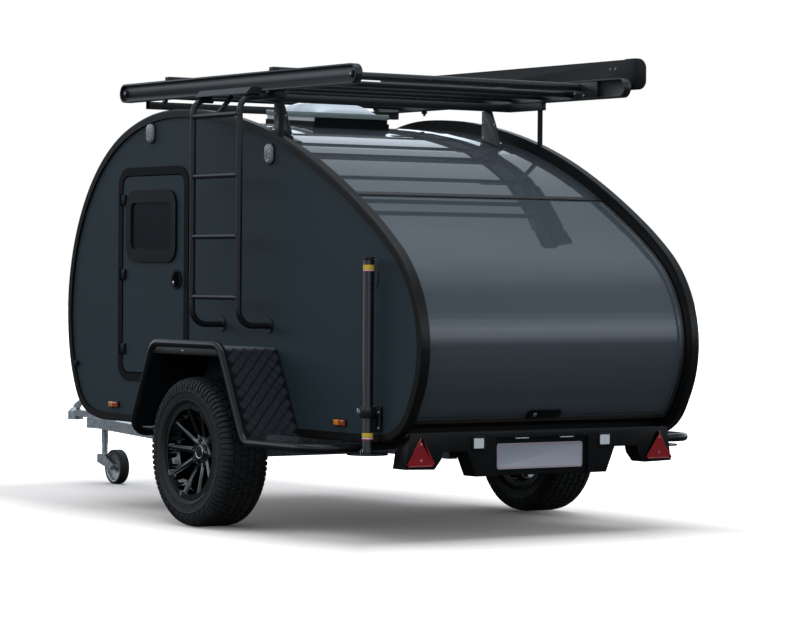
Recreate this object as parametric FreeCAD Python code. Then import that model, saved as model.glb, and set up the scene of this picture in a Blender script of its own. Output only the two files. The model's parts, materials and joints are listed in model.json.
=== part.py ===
"""Off-road teardrop trailer, in millimetres.

+X points forward to the coupling, +Y to the left, +Z up, and the ground is z = 0.
The side of the body is one closed outline of tangent arcs, and every panel, trim and
lid is a band of that outline, so they follow its length and height.
"""
import FreeCAD
import Part
import math
import os

V = FreeCAD.Vector

# ---- body -------------------------------------------------------------------
tail_x = -2375.0          # rearmost point of the side outline
body_length = 3313.0
body_height = 1608.0
body_base = 456.0         # underside above the ground
trim_half_width = 816.0   # half the width over the edge trims
trim_lip = 12.0           # how far a trim stands out from its wall
trim_cover = 40.0         # how far a trim's lip reaches over the wall
trim_band = 6.0           # thickness of a trim round the edge of the wall
trim_round = 8.0          # rounding of a trim's outer edge
wall_thickness = 35.0
skin_inset = 55.0         # roof and hatch lie this far inside the outline
skin_thickness = 30.0
sill_thickness = 50.0     # tail sill below the hatch
floor_thickness = 40.0
side_gap = 6.0            # hatch to side wall, each side
fit_gap = 0.3             # between pieces that only touch

wall_face = trim_half_width - trim_lip
wall_inner = wall_face - wall_thickness
front_x = tail_x + body_length
roof_z = body_base + body_height
floor_z = body_base + trim_band + floor_thickness
chassis_top = body_base + trim_band

# Outline stations, anticlockwise seen with +X to the right: share of the length from
# the tail, share of the height, and heading in degrees on an outline of equal sides
outline_stations = [
    (0.140, 0.000, 0.0),
    (0.870, 0.000, 0.0),
    (0.970, 0.086, 75.0),
    (1.000, 0.350, 90.0),
    (0.926, 0.776, 112.0),
    (0.668, 1.000, 180.0),
    (0.372, 0.900, 214.0),
    (0.122, 0.646, 233.5),
    (0.022, 0.451, 255.0),
    (0.000, 0.279, 270.0),
    (0.015, 0.139, 283.0),
    (0.048, 0.040, 303.0),
]

# ---- openings in the body ---------------------------------------------------
hinge_x = -1678.0         # hatch hinge line
hatch_bottom_z = 552.0
edge_strip_width = 24.0   # bright strips along the hatch
edge_strip_depth = 4.0
latch_width = 190.0
latch_height = 42.0
front_joint_x = 610.0     # front wall to roof
front_sill_length = 260.0
front_sill_z = 560.0
door_front_x = 351.0
door_width = 618.0
door_low_z = 718.0
door_height = 1014.0
door_corner = 52.0
door_gap = 5.0
door_frame_width = 47.0
door_frame_lip = 6.0
window_centre_x = 51.0
window_centre_z = 1475.0
window_width = 409.0      # clear pane
window_height = 241.0
window_corner = 34.0
window_side_border = 46.0
window_top_border = 65.0
window_ledge = 12.0       # pane edge held behind the frame
window_proud = 12.0
hinge_barrel = 6.0        # radius of every hinge barrel
pin_gap = 0.3             # running gap at hinges, hubs and clamps
door_pin_x = 13.0         # door hinge axis ahead of the leaf
door_pin_y = 13.0         # and out from the wall's face
lock_x = -200.0
lock_z = 1202.0
lock_radius = 50.0
board = 18.0              # plywood inside
worktop_z = 930.0
galley_depth = 460.0
bulkhead_back = 160.0     # partition ahead of the hatch hinge
mattress_thickness = 110.0
mattress_gap = 12.0

# ---- running gear -----------------------------------------------------------
axle_x = -848.0
wheel_track = 2003.0
tyre_radius = 366.0
tyre_width = 260.0
tyre_wall = 14.0
rim_radius = 216.0
rim_lip_radius = 235.0
rim_width = 222.0
rim_lip_width = 12.0
rim_thickness = 7.0
rim_well_radius = 198.0   # drop centre
rim_well_half = 40.0
spoke_count = 10
spoke_root = 58.0         # where the spokes leave the hub
spoke_root_half = 16.0
spoke_root_depth = 26.0
spoke_tip_half = 12.0
spoke_tip_depth = 20.0
spoke_tip_face = 98.0     # outer face at the rim, from the wheel's middle
spoke_ridge = 6.0
spoke_turn = 14.0        # first spoke from upright, in degrees
hub_face = 50.0           # wheel pad's outer face, from the wheel's middle
hub_radius = 76.0
hub_cap_radius = 34.0
lug_count = 5
lug_circle = 56.0
lug_pocket = 11.0
drum_radius = 110.0
stub_radius = 22.0
beam_size = 60.0
beam_half = 800.0
arm_width = 35.0
arm_length = 150.0        # axle beam ahead of the wheel centre

# ---- chassis ----------------------------------------------------------------
rail_half_spacing = 445.0
rail_width = 50.0
rail_height = 80.0
section_wall = 4.0        # wall of every square or box section
crossmember_stations = [-2000.0, -1180.0, -180.0, 500.0]
crossmember_width = 50.0
crossmember_drop = 10.0   # crossmembers are this much shallower than the rails
nose_x = 2375.0           # front of the coupling
drawbar_size = 60.0
drawbar_back_x = 183.0
drawbar_meet = 482.0      # where the arms meet, behind the nose
drawbar_end = 252.0       # end of the head bar, behind the nose
drawbar_head_half = 40.0
coupling_radius = 45.0
ball_radius = 25.2
ball_depth = 50.0

drawbar_meet_x = nose_x - drawbar_meet
drawbar_end_x = nose_x - drawbar_end

# ---- jockey wheel -----------------------------------------------------------
jockey_x = nose_x - 272.0   # mast centre
jockey_radius = 100.0
jockey_width = 58.0
jockey_disc_radius = 86.0
jockey_axle = 8.0
jockey_trail = 146.0      # wheel behind the mast
mast_radius = 20.0
mast_clamp_wall = 12.0
mast_length = 480.0
mast_drop = 150.0         # mast below the drawbar's top
fork_half = 40.0
fork_plate = 6.0
fork_crown_z = 168.0      # top of the fork's crown

jockey_y = -drawbar_head_half - mast_radius - mast_clamp_wall
drawbar_top = chassis_top - rail_height

# ---- rear steadies ----------------------------------------------------------
steady_x = -2014.0
steady_y = trim_half_width + 46.0
steady_radius = 25.5
steady_wall = 3.5
steady_low_z = 336.0
steady_top_z = 1314.0
steady_foot_radius = 95.0
steady_foot_thickness = 8.0
steady_clamp_z = 520.0
steady_clamp_height = 50.0
steady_clamp_wall = 9.0
steady_plate_half = 43.0
steady_plate_low_z = 446.0
steady_plate_top_z = 618.0
steady_plate_thickness = 8.0

# ---- fenders ----------------------------------------------------------------
fender_tube = 15.0
fender_y = wheel_track / 2 + tyre_width / 2 + 8.5
tube_wall = 3.0           # wall of every round tube
fender_low_z = 439.0
fender_rise = 159.0       # tube above the tyre
fender_low_length = 1063.0
fender_top_length = 625.0
fender_low_middle = -853.5
fender_top_middle = -849.5
fender_bend = 75.0
fender_front_bend = 90.0  # where the front end turns in under the body
fender_rear_bend = 130.0  # where the rear end does
fender_rear_x = -2006.0
fender_rear_end_x = -1831.0
fender_plate_thickness = 4.0
fender_flange = 37.0      # downstand under the top tube

# ---- roof rack --------------------------------------------------------------
rack_y = trim_half_width - 16.0
rack_back_x = -1833.0
rack_length = 2208.0
rack_rail_height = 97.0
rack_rail_width = 40.0
rack_rim = 9.0
rack_web = 6.0
rack_boss_radius = 16.0
rack_gap = 16.0           # base bars above the body
rack_bar = 38.0
rack_bar_half = rack_y - 16.0
rack_bar_stations = [144.0, -886.0]
rack_clamp_stations = [-78.0, -1071.0]
slat_radius = 15.0
slat_count = 7
slat_pitch = 255.0
slat_first_x = -1373.0
slat_z_drop = 16.0        # slats below the rails' middle
end_slat_x = -1464.0
end_slat_radius = 19.0
end_slat_rise = 17.0
bracket_y = wall_inner - 133.0
bracket_plate = 6.0
bracket_foot = 35.0       # half the width of a bracket's foot
rack_arm = 30.0           # width of the arms behind the rear bar
rack_leg = 20.0
rack_leg_x = -1141.0      # leg under each arm
awning_length = 2240.0
awning_back_x = -1756.0
awning_gap = 85.0         # right rail to the cassette
awning_depth = 75.0
awning_height = 155.0
awning_low = 2.0          # cassette's underside below the rails' middle
awning_round = 48.0
awning_cap_length = 80.0

# ---- rooflight --------------------------------------------------------------
rooflight_x = -352.0
rooflight_size = 462.0
rooflight_base = 22.0     # black base above the skin
rooflight_frame = 20.0
rooflight_edge = 27.0
rooflight_dome = 58.0
rooflight_border = 45.0   # flat edge round the dome
rooflight_wall = 30.0     # hole's edge inside the frame
rooflight_step = 7.0      # frame inside the base, each side

# ---- ladder -----------------------------------------------------------------
ladder_back_x = -1076.0
ladder_width = 435.0
ladder_tube = 15.0
ladder_y = wall_face + 176.0
ladder_foot_rise = 91.0   # feet above the fender tube
ladder_bend = 80.0
rung_rise = 136.0         # first rung above the feet
rung_drop = 100.0         # last rung below the step
rung_count = 4
step_z = 2103.0           # lower edge of the top step
step_rise = 29.0
step_lean = 27.0
step_overhang = 21.5
step_sheet = 3.0
ladder_flange = 36.0

# ---- rear light panel -------------------------------------------------------
panel_back_x = -2206.0
panel_depth = 100.0
panel_wall = 5.0
panel_top_z = 513.0
panel_lobe_low_z = 344.5
panel_notch_z = 423.0
panel_low_z = 303.0
panel_middle_half = 384.0
panel_notch_half = 435.0
plate_width = 504.0
plate_height = 120.0
plate_z = 392.0
plate_recess = 20.0
plate_recess_half = 275.0
plate_recess_top = 479.0
plate_thickness = 3.0
triangle_side = 155.0
triangle_y = trim_half_width - 114.0
triangle_z = 359.0
triangle_proud = 10.0
lamp_y = 371.5
lamp_z = 458.0
lamp_width = 79.0
lamp_height = 68.0
lamp_proud = 5.0

# ---- lamps on the walls -----------------------------------------------------
# middle x, middle z
marker_stations = [(-1712.5, 542.0), (428.5, 541.5)]
marker_length = 93.0
marker_height = 32.0
marker_proud = 20.0
wall_lamp_stations = [(60.0, 1951.0), (-1081.0, 1814.0)]
wall_lamp_radius = 34.0
wall_lamp_half = 18.0     # straight part, half its height
wall_lamp_proud = 26.0


# ---- shapes -----------------------------------------------------------------
def box(x0, x1, y0, y1, z0, z1):
    """Box from its limits."""
    return Part.makeBox(x1 - x0, y1 - y0, z1 - z0, V(x0, y0, z0))


def box_section(x0, x1, y0, y1, z0, z1, along):
    """Hollow box section, open at both ends along one axis."""
    low, high = [x0, y0, z0], [x1, y1, z1]
    for axis in range(3):
        step = -1.0 if axis == along else section_wall
        low[axis] += step
        high[axis] -= step
    bore = box(low[0], high[0], low[1], high[1], low[2], high[2])
    return box(x0, x1, y0, y1, z0, z1).cut(bore)


def rod(start, end, radius):
    """Cylinder between two points."""
    start, end = V(*start), V(*end)
    return Part.makeCylinder(radius, (end - start).Length, start, end - start)


def mirrored(shape):
    """The same shape on the other side of the trailer."""
    return shape.mirror(V(0, 0, 0), V(0, 1, 0))


def fused(shapes):
    """One solid from touching shapes."""
    whole = shapes[0]
    if len(shapes) > 1:
        whole = whole.fuse(shapes[1:])
    return whole.removeSplitter()


def bent_tube(points, bends, radius):
    """Round bar along straight runs, with an arc of its own radius at each corner."""
    points = [V(*p) for p in points]
    edges = []
    start = points[0]
    for before, corner, after, bend in zip(points, points[1:], points[2:], bends):
        into = (corner - before).normalize()
        out = (after - corner).normalize()
        turn = into.getAngle(out)
        cut = bend * math.tan(turn / 2)
        first = corner - into * cut
        last = corner + out * cut
        inward = (out - into).normalize()
        middle = corner + inward * (bend / math.cos(turn / 2) - bend)
        edges.append(Part.LineSegment(start, first).toShape())
        edges.append(Part.Arc(first, middle, last).toShape())
        start = last
    edges.append(Part.LineSegment(start, points[-1]).toShape())
    path = Part.Wire(edges)
    circle = Part.Wire(Part.makeCircle(radius, points[0], points[1] - points[0]))
    return path.makePipeShell([circle], True, False)


def polygon_xz(points, y0, y1):
    """Prism across the trailer from corners in the side view."""
    wire = Part.makePolygon([V(x, y0, z) for x, z in points + points[:1]])
    return Part.Face(wire).extrude(V(0, y1 - y0, 0))


def rounded_xz(x0, x1, z0, z1, radius, y0, y1):
    """Rectangle with rounded corners in the side view, carried across the trailer."""
    block = box(x0, x1, y0, y1, z0, z1)
    corners = [e for e in block.Edges if abs(e.tangentAt(e.FirstParameter).y) > 0.99]
    return block.makeFillet(radius, corners)


def rounded_yz(y0, y1, z0, z1, radius, x0, x1):
    """Rectangle with rounded corners seen from behind, carried along the trailer."""
    block = box(x0, x1, y0, y1, z0, z1)
    corners = [e for e in block.Edges if abs(e.tangentAt(e.FirstParameter).x) > 0.99]
    return block.makeFillet(radius, corners)


# ---- side outline -----------------------------------------------------------
def arc_through(tangent_point, heading, other):
    """Centre and radius of the arc that leaves one point along a heading and meets another."""
    normal = (-math.sin(heading), math.cos(heading))
    dx, dz = other[0] - tangent_point[0], other[1] - tangent_point[1]
    radius = (dx * dx + dz * dz) / (2 * (dx * normal[0] + dz * normal[1]))
    return tangent_point[0] + normal[0] * radius, tangent_point[1] + normal[1] * radius, radius


def arc_angles(centre, start, end):
    """Start and end angle of an anticlockwise arc about a centre."""
    first = math.atan2(start[1] - centre[1], start[0] - centre[0])
    last = math.atan2(end[1] - centre[1], end[0] - centre[0])
    if last < first:
        last += 2 * math.pi
    return first, last


def outline_arcs():
    """Arcs (centre x, centre z, radius, start, end) that join the stations, two to each pair."""
    points = []
    for along, up, heading in outline_stations:
        turn = math.radians(heading)
        real = math.atan2(body_height * math.sin(turn), body_length * math.cos(turn))
        points.append((tail_x + along * body_length, body_base + up * body_height, real))
    arcs = []
    for (x0, z0, h0), (x1, z1, h1) in zip(points[1:], points[2:] + points[:1]):
        t0 = (math.cos(h0), math.sin(h0))
        t1 = (math.cos(h1), math.sin(h1))
        vx, vz = x1 - x0, z1 - z0
        along = vx * (t0[0] + t1[0]) + vz * (t0[1] + t1[1])
        bend = 2 * (1 - t0[0] * t1[0] - t0[1] * t1[1])
        reach = (-along + math.sqrt(along * along + bend * (vx * vx + vz * vz))) / bend
        joint = ((x0 + x1 + reach * (t0[0] - t1[0])) / 2, (z0 + z1 + reach * (t0[1] - t1[1])) / 2)
        for point, heading, start, end in (((x0, z0), h0, (x0, z0), joint), ((x1, z1), h1, joint, (x1, z1))):
            cx, cz, radius = arc_through(point, heading, joint)
            first, last = arc_angles((cx, cz), start, end)
            arcs.append((cx, cz, abs(radius), first, last))
    return arcs


arcs = outline_arcs()


def outline_face(inset):
    """The side outline as a face at y = 0, drawn in by an inset."""
    edges = []
    ends = []
    for cx, cz, radius, first, last in arcs:
        r = radius - inset
        angles = (first, (first + last) / 2, last)
        three = [V(cx + r * math.cos(a), 0, cz + r * math.sin(a)) for a in angles]
        edges.append(Part.Arc(*three).toShape())
        ends.append((three[0], three[2]))
    edges.append(Part.LineSegment(ends[-1][1], ends[0][0]).toShape())
    return Part.Face(Part.Wire(Part.__sortEdges__(edges)))


def outline_slab(inset, y0, y1):
    """The outline carried across the trailer between two widths."""
    return outline_face(inset).translated(V(0, y0, 0)).extrude(V(0, y1 - y0, 0))


def outline_band(outer, inner, y0, y1):
    """Band of the outline between two insets."""
    return outline_slab(outer, y0, y1).cut(outline_slab(inner, y0, y1))


def surface_z(x, inset):
    """Height of the upper side of the outline at a station, drawn in by an inset."""
    heights = []
    for cx, cz, radius, first, last in arcs:
        r = radius - inset
        if abs(x - cx) <= r and math.sin((first + last) / 2) > 0:
            angle = math.acos((x - cx) / r)
            if first - 1e-6 <= angle <= last + 1e-6:
                heights.append(cz + r * math.sin(angle))
    return max(heights)


def surface_heading(x, inset):
    """Slope angle of the upper side of the outline at a station, in radians, nose up positive."""
    step = 2.0
    rise = surface_z(x + step, inset) - surface_z(x - step, inset)
    return math.atan2(rise, 2 * step)


# ---- body pieces ------------------------------------------------------------
def door_opening(grow, y0, y1):
    """The door's outline, grown by a margin."""
    return rounded_xz(door_front_x - door_width - grow, door_front_x + grow, door_low_z - grow,
                      door_low_z + door_height + grow, door_corner + grow, y0, y1)


def side_wall():
    """Left wall with its door opening."""
    wall = outline_slab(trim_band, wall_inner, wall_face)
    return wall.cut(door_opening(door_gap + door_frame_lip, wall_inner - 1, wall_face + 1))


def edge_trim():
    """Left edge trim: a band round the wall's edge with a rounded lip over its face."""
    band = outline_band(0, trim_band, wall_inner, wall_face)
    lip = outline_slab(0, wall_face, trim_half_width)
    rounded = [e for e in lip.Edges if e.BoundBox.YMin > trim_half_width - 0.1]
    lip = lip.makeFillet(trim_round, rounded)
    return fused([band, lip.cut(outline_slab(trim_cover, wall_face - 1, trim_half_width + 1))])


def floor():
    """Floor between the walls, with a sill under the front wall."""
    slab = outline_slab(trim_band, -wall_inner, wall_inner)
    deck = box(panel_back_x + panel_wall + fit_gap, front_x, -wall_inner, wall_inner, body_base, floor_z)
    sill = box(front_x - front_sill_length, front_x, -wall_inner, wall_inner, body_base, front_sill_z)
    return slab.common(deck.fuse(sill))


def joint_line(x, inset, reach):
    """Two points on the normal of the skin at a station: inside and outside."""
    z = surface_z(x, inset)
    slope = surface_heading(x, inset)
    nx, nz = -math.sin(slope), math.cos(slope)
    return (x - nx * reach, z - nz * reach), (x + nx * reach, z + nz * reach)


def shell_part(y_half, corners):
    """Stretch of the roof and hatch skin inside a polygon of the side view."""
    shell = outline_band(skin_inset, skin_inset + skin_thickness, -y_half, y_half)
    return shell.common(polygon_xz(corners, -y_half, y_half))


def front_panel():
    """Front wall, from the floor to its joint with the roof."""
    inner, outer = joint_line(front_joint_x, skin_inset, 150.0)
    ahead = front_x + 50
    back = front_x - front_sill_length
    corners = [inner, outer, (ahead, outer[1]), (ahead, front_sill_z), (back, front_sill_z),
               (back, inner[1] - 400)]
    return shell_part(wall_inner, corners)


def roof_panel():
    """Roof, from the front joint back to the hatch hinge."""
    front_in, front_out = joint_line(front_joint_x, skin_inset, 150.0)
    back_in, back_out = joint_line(hinge_x + side_gap / 2, skin_inset, 150.0)
    above = roof_z + 100
    corners = [front_in, front_out, (front_out[0], above), (back_out[0], above), back_out, back_in]
    return shell_part(wall_inner, corners).cut(rooflight_hole())


def hatch_axis():
    """Hinge line of the hatch, just above the skin's outer face."""
    return hinge_x, surface_z(hinge_x, skin_inset) + hinge_barrel / 2


def hatch_barrel(radius):
    """Round bar along the hatch's hinge line."""
    x, z = hatch_axis()
    return rod((x, -wall_inner, z), (x, wall_inner, z), radius)


def hatch_hinge():
    """Hinge profile on the roof's end, with its round barrel along the hinge line."""
    x, z = hatch_axis()
    slope = surface_heading(hinge_x, skin_inset)
    leaf = box(x, x + 30, -wall_inner, wall_inner, z - hinge_barrel, z - hinge_barrel + 7)
    leaf.rotate(V(x, 0, z), V(0, -1, 0), math.degrees(slope))
    return fused([hatch_barrel(hinge_barrel), leaf]).cut(outline_slab(skin_inset, -wall_inner, wall_inner))


def hatch_corners(ahead):
    """Side view polygon that holds the hatch, from a line behind the hinge to its bottom edge."""
    inner, outer = joint_line(hinge_x - ahead, skin_inset, 150.0)
    behind = tail_x - 50
    return [outer, inner, (inner[0], hatch_bottom_z), (behind, hatch_bottom_z), (behind, outer[1])]


def hatch_panel():
    """Rear lid, from the hinge line down to its bottom edge."""
    lid = shell_part(wall_inner - side_gap, hatch_corners(side_gap / 2))
    return lid.cut(hatch_barrel(hinge_barrel + pin_gap))


def hatch_edges():
    """Bright strips along both side edges of the hatch."""
    half = wall_inner - side_gap
    inner = half - edge_strip_width
    strip = outline_band(skin_inset - edge_strip_depth, skin_inset, inner, half)
    strip = strip.common(polygon_xz(hatch_corners(3 * side_gap), inner, half))
    return [strip, mirrored(strip)]


def hatch_latch():
    """Handle at the middle of the hatch's lower edge: a plate with a raised pull beside its lock."""
    z = hatch_bottom_z + latch_height / 2 + 12
    half = latch_width / 2
    skin = outline_slab(skin_inset, -half, half)
    plate = rounded_yz(-half, half, z - latch_height / 2, z + latch_height / 2, 12, tail_x, tail_x + 400)
    plate = plate.common(outline_slab(skin_inset - 8, -half, half))
    pull = rounded_yz(-half + 6, half - 62, z - latch_height / 2 + 6, z + latch_height / 2 - 6, 8,
                      tail_x, tail_x + 400)
    lock = rod((tail_x, half - 34, z), (tail_x + 400, half - 34, z), 15)
    pull = pull.fuse(lock).common(outline_slab(skin_inset - 16, -half, half))
    return fused([plate, pull]).cut(skin)


def tail_sill():
    """Sill below the hatch: a strip of the skin's thickness, and a board down to the floor ahead of it."""
    shell = outline_band(skin_inset, skin_inset + sill_thickness, -wall_inner, wall_inner)
    ahead = panel_back_x + panel_depth
    top = hatch_bottom_z - side_gap
    strip = shell.common(box(tail_x - 10, ahead, -wall_inner, wall_inner, floor_z, top))
    return fused([strip, box(ahead - board, ahead, -wall_inner, wall_inner, floor_z, top)])


# ---- doors ------------------------------------------------------------------
def door_frame():
    """Black frame round the left door opening: a lining with an outer lip."""
    lining = door_opening(door_gap + door_frame_lip, wall_inner, wall_face)
    lip = door_opening(door_frame_width, wall_face, wall_face + door_frame_lip)
    frame = fused([lining, lip]).cut(door_opening(door_gap, wall_inner - 1, wall_face + 20))
    x, y = door_front_x + door_pin_x, wall_face + door_pin_y
    for z in door_hinge_heights():
        saddle = box(x - 4, x + 4, wall_face + door_frame_lip, y, z - 30, z + 30)
        frame = frame.fuse([rod((x, y, z - 30), (x, y, z + 30), hinge_barrel), saddle])
    return frame.removeSplitter()


def door_hinge_heights():
    """Middle heights of the three door hinges."""
    middle = door_low_z + door_height / 2
    reach = door_height / 2 - 120
    return [middle - reach, middle, middle + reach]


def door_leaf():
    """Left door leaf with its window opening and hinge tabs."""
    leaf = door_opening(0, wall_inner + 2, wall_face + 2)
    leaf = leaf.cut(window_outline(window_ledge, window_ledge, wall_inner, wall_face + 10))
    x, y = door_front_x + door_pin_x, wall_face + door_pin_y
    tabs = []
    for z in door_hinge_heights():
        foot = box(x - 45, x - 16, wall_face + 2, wall_face + 7, z - 25, z + 25)
        arm = box(x - 45, x - hinge_barrel + 1, wall_face + 7, y, z - 25, z + 25)
        tabs.append(fused([foot, arm]).cut(rod((x, y, z - 40), (x, y, z + 40), hinge_barrel + pin_gap)))
    return fused([leaf] + tabs)


def window_outline(side, end, y0, y1):
    """The door window's outline, grown at its sides and at its top and bottom."""
    half = window_width / 2 + side
    rise = window_height / 2 + end
    return rounded_xz(window_centre_x - half, window_centre_x + half, window_centre_z - rise,
                      window_centre_z + rise, window_corner + min(side, end), y0, y1)


def window_frame():
    """Raised frame round the door window."""
    face = wall_face + 2
    outer = window_outline(window_side_border, window_top_border, face, face + window_proud)
    return outer.cut(window_outline(0, 0, wall_face, face + window_proud + 1))


def window_pane():
    """Door window pane, behind its frame."""
    return window_outline(window_ledge, window_ledge, wall_face - 4, wall_face + 2)


def door_lock():
    """Lock plate with its turning handle, near the door's rear edge."""
    plate = rod((lock_x, wall_face + 2, lock_z), (lock_x, wall_face + 9, lock_z), lock_radius)
    handle = box(lock_x - 14, lock_x + 14, wall_face + 9, wall_face + 24, lock_z - 38, lock_z + 38)
    return fused([plate, handle])


# ---- inside -----------------------------------------------------------------
def bulkhead():
    """Partition between cabin and galley."""
    x = hinge_x + bulkhead_back
    inside = outline_slab(skin_inset + skin_thickness + fit_gap, -wall_inner, wall_inner)
    return inside.common(box(x, x + board, -wall_inner, wall_inner, floor_z, roof_z))


def galley_unit():
    """Kitchen unit behind the hatch: worktop, shelf, sides and dividers."""
    x1 = hinge_x + bulkhead_back
    x0 = x1 - galley_depth
    side = wall_inner
    under = worktop_z - 30
    boards = [box(x0, x1, -side, side, under, worktop_z)]
    boards.append(box(x0 + 40, x1, -side, side, floor_z, floor_z + board))
    for y in (-side, -side / 3, side / 3 - board, side - board):
        boards.append(box(x0 + 40, x1, y, y + board, floor_z + board, under))
    return fused(boards)


def mattress():
    """Bed across the cabin floor."""
    half = wall_inner - mattress_gap
    back = hinge_x + bulkhead_back + board + mattress_gap
    front = front_x - front_sill_length - mattress_gap
    return box(back, front, -half, half, floor_z, floor_z + mattress_thickness)


# ---- rooflight --------------------------------------------------------------
def rooflight_block(low, high, half):
    """Square block under or over the rooflight, laid along the roof's slope."""
    z = surface_z(rooflight_x, skin_inset)
    block = box(rooflight_x - half, rooflight_x + half, -half, half, z + low, z + high)
    slope = math.degrees(surface_heading(rooflight_x, skin_inset))
    block.rotate(V(rooflight_x, 0, z), V(0, -1, 0), slope)
    return block


def rooflight_hole():
    """Opening in the roof under the rooflight."""
    return rooflight_block(-100, 60, rooflight_size / 2 - rooflight_wall)


def rooflight_curb():
    """Square frame on the roof that carries the rooflight's dome, on its wider base."""
    half = rooflight_size / 2
    base = rooflight_block(-60, rooflight_base, half)
    frame = rooflight_block(0, rooflight_base + rooflight_frame, half - rooflight_step)
    whole = fused([base, frame]).cut(rooflight_hole())
    return whole.cut(outline_slab(skin_inset, -half - 1, half + 1))


def rooflight_lid():
    """Clear lid of the rooflight: a flat edge with a low dome."""
    low = rooflight_base + rooflight_frame
    half = rooflight_size / 2
    edge = rooflight_block(low, low + rooflight_edge, half)
    top = low + rooflight_edge + rooflight_dome
    dome = rooflight_block(low + rooflight_edge, top, half - rooflight_border)
    highest = max(v.Z for v in dome.Vertexes)
    rim = [e for e in dome.Edges if e.BoundBox.ZMin > highest - rooflight_dome * 0.8]
    return fused([edge, dome.makeChamfer(rooflight_dome - 12, rim)])


# ---- chassis ----------------------------------------------------------------
def rail_spans():
    """Inner and outer width of the left chassis rail."""
    return rail_half_spacing - rail_width / 2, rail_half_spacing + rail_width / 2


def chassis_rails():
    """Two rails under the floor."""
    inner, outer = rail_spans()
    rail = box_section(panel_back_x + panel_depth, front_x - 200, inner, outer,
                       chassis_top - rail_height, chassis_top, 0)
    return [rail, mirrored(rail)]


def crossmembers():
    """Members between the rails."""
    inner, _ = rail_spans()
    low = drawbar_top + crossmember_drop
    return [box_section(x, x + crossmember_width, -inner, inner, low, chassis_top, 1)
            for x in crossmember_stations]


def drawbar_bars(wall):
    """The drawbar's bars, each drawn in by a wall: two arms, the head bar and the tie under the rails."""
    _, outer = rail_spans()
    z0 = drawbar_top - drawbar_size + wall
    z1 = drawbar_top - wall
    half = drawbar_size / 2 - wall
    bars = []
    for side in (1, -1):
        a = V(drawbar_back_x, side * rail_half_spacing, z0)
        b = V(drawbar_meet_x, side * drawbar_size / 2, z0)
        run = (b - a).normalize()
        across = V(-run.y, run.x, 0) * half
        face = Part.Face(Part.makePolygon([a - across, b - across, b + across, a + across, a - across]))
        bars.append(face.extrude(V(0, 0, z1 - z0)))
    open_end = 1 if wall else 0
    bars.append(box(drawbar_meet_x - 200 + wall, drawbar_end_x + open_end,
                    wall - drawbar_head_half, drawbar_head_half - wall, z0, z1))
    bars.append(box(drawbar_back_x - 40 + wall, drawbar_back_x + 40 - wall,
                    wall - outer, outer - wall, z0, z1))
    return fused(bars)


def drawbar():
    """A-frame under the rails: two hollow bars that meet in one square head bar."""
    return drawbar_bars(0).cut(drawbar_bars(section_wall))


def coupling():
    """Ball coupling: shank with side cheeks, domed head cupped below, and its curved lever."""
    z = drawbar_top
    head_x = nose_x - coupling_radius
    back = drawbar_end_x - 200
    shank = box(back, head_x, -30, 30, z, z + 36)
    end = drawbar_end_x
    cheeks = polygon_xz([(back, z), (end, z), (end, z + 50), (back + 60, z + 50)], -34, 34)
    low = z - 20
    head = Part.makeCylinder(coupling_radius, 48, V(head_x, 0, low))
    dome = Part.makeCone(coupling_radius, coupling_radius - 22, 22, V(head_x, 0, low + 48))
    socket = Part.makeCylinder(ball_radius, ball_depth, V(head_x, 0, low))
    x = head_x
    lever = polygon_xz([(x + 8, z + 44), (x + 4, z + 66), (x - 60, z + 96), (x - 180, z + 92),
                        (x - 184, z + 74), (x - 66, z + 76), (x - 30, z + 44)], -13, 13)
    return fused([shank, cheeks, head, dome, lever]).cut(socket)


def handbrake():
    """Handbrake on the drawbar head: bracket, toothed quadrant and a lever with its grip."""
    z = drawbar_top
    x = drawbar_end_x - 250
    bracket = box(x - 45, x + 35, 8, 14, z, z + 62)
    foot = box(x - 45, x + 35, 8, 34, z, z + 6)
    pivot = rod((x, 8, z + 42), (x, 34, z + 42), 14)
    quarter = box(x - 60, x + 60, 8, 34, z + 48, z + 120)
    sector = rod((x, 14, z + 42), (x, 19, z + 42), 46).common(quarter)
    lever = rod((x, 25, z + 42), (x - 88, 25, z + 330), 8)
    grip = rod((x - 60, 25, z + 238), (x - 88, 25, z + 330), 14)
    return fused([bracket, foot, pivot, sector, lever, grip])


def jockey_clamp():
    """Clamp on the drawbar's head that holds the mast, with the handle of its pinch bolt."""
    outer = mast_radius + mast_clamp_wall
    top = drawbar_top + 15
    ring = Part.makeCylinder(outer, 70, V(jockey_x, jockey_y, top - 70))
    hole = Part.makeCylinder(mast_radius + pin_gap, 90, V(jockey_x, jockey_y, top - 80))
    bolt_x, bolt_y, bolt_z = jockey_x + 50, jockey_y - 24, top - 32
    ear = box(jockey_x + 8, bolt_x + 8, bolt_y + 8, jockey_y - 6, bolt_z - 16, bolt_z + 16)
    bolt = rod((bolt_x, bolt_y - 10, bolt_z), (bolt_x, bolt_y + 12, bolt_z), 8)
    handle = rod((bolt_x, bolt_y - 10, bolt_z - 49), (bolt_x, bolt_y - 10, bolt_z + 9), 10)
    return fused([ring, ear, bolt, handle]).cut(hole)


def axle_beam():
    """Square rubber-sprung axle beam across the rails."""
    x = axle_x + arm_length
    half = beam_size / 2
    return box_section(x - half, x + half, -beam_half, beam_half, drawbar_top - beam_size, drawbar_top, 1)


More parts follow.
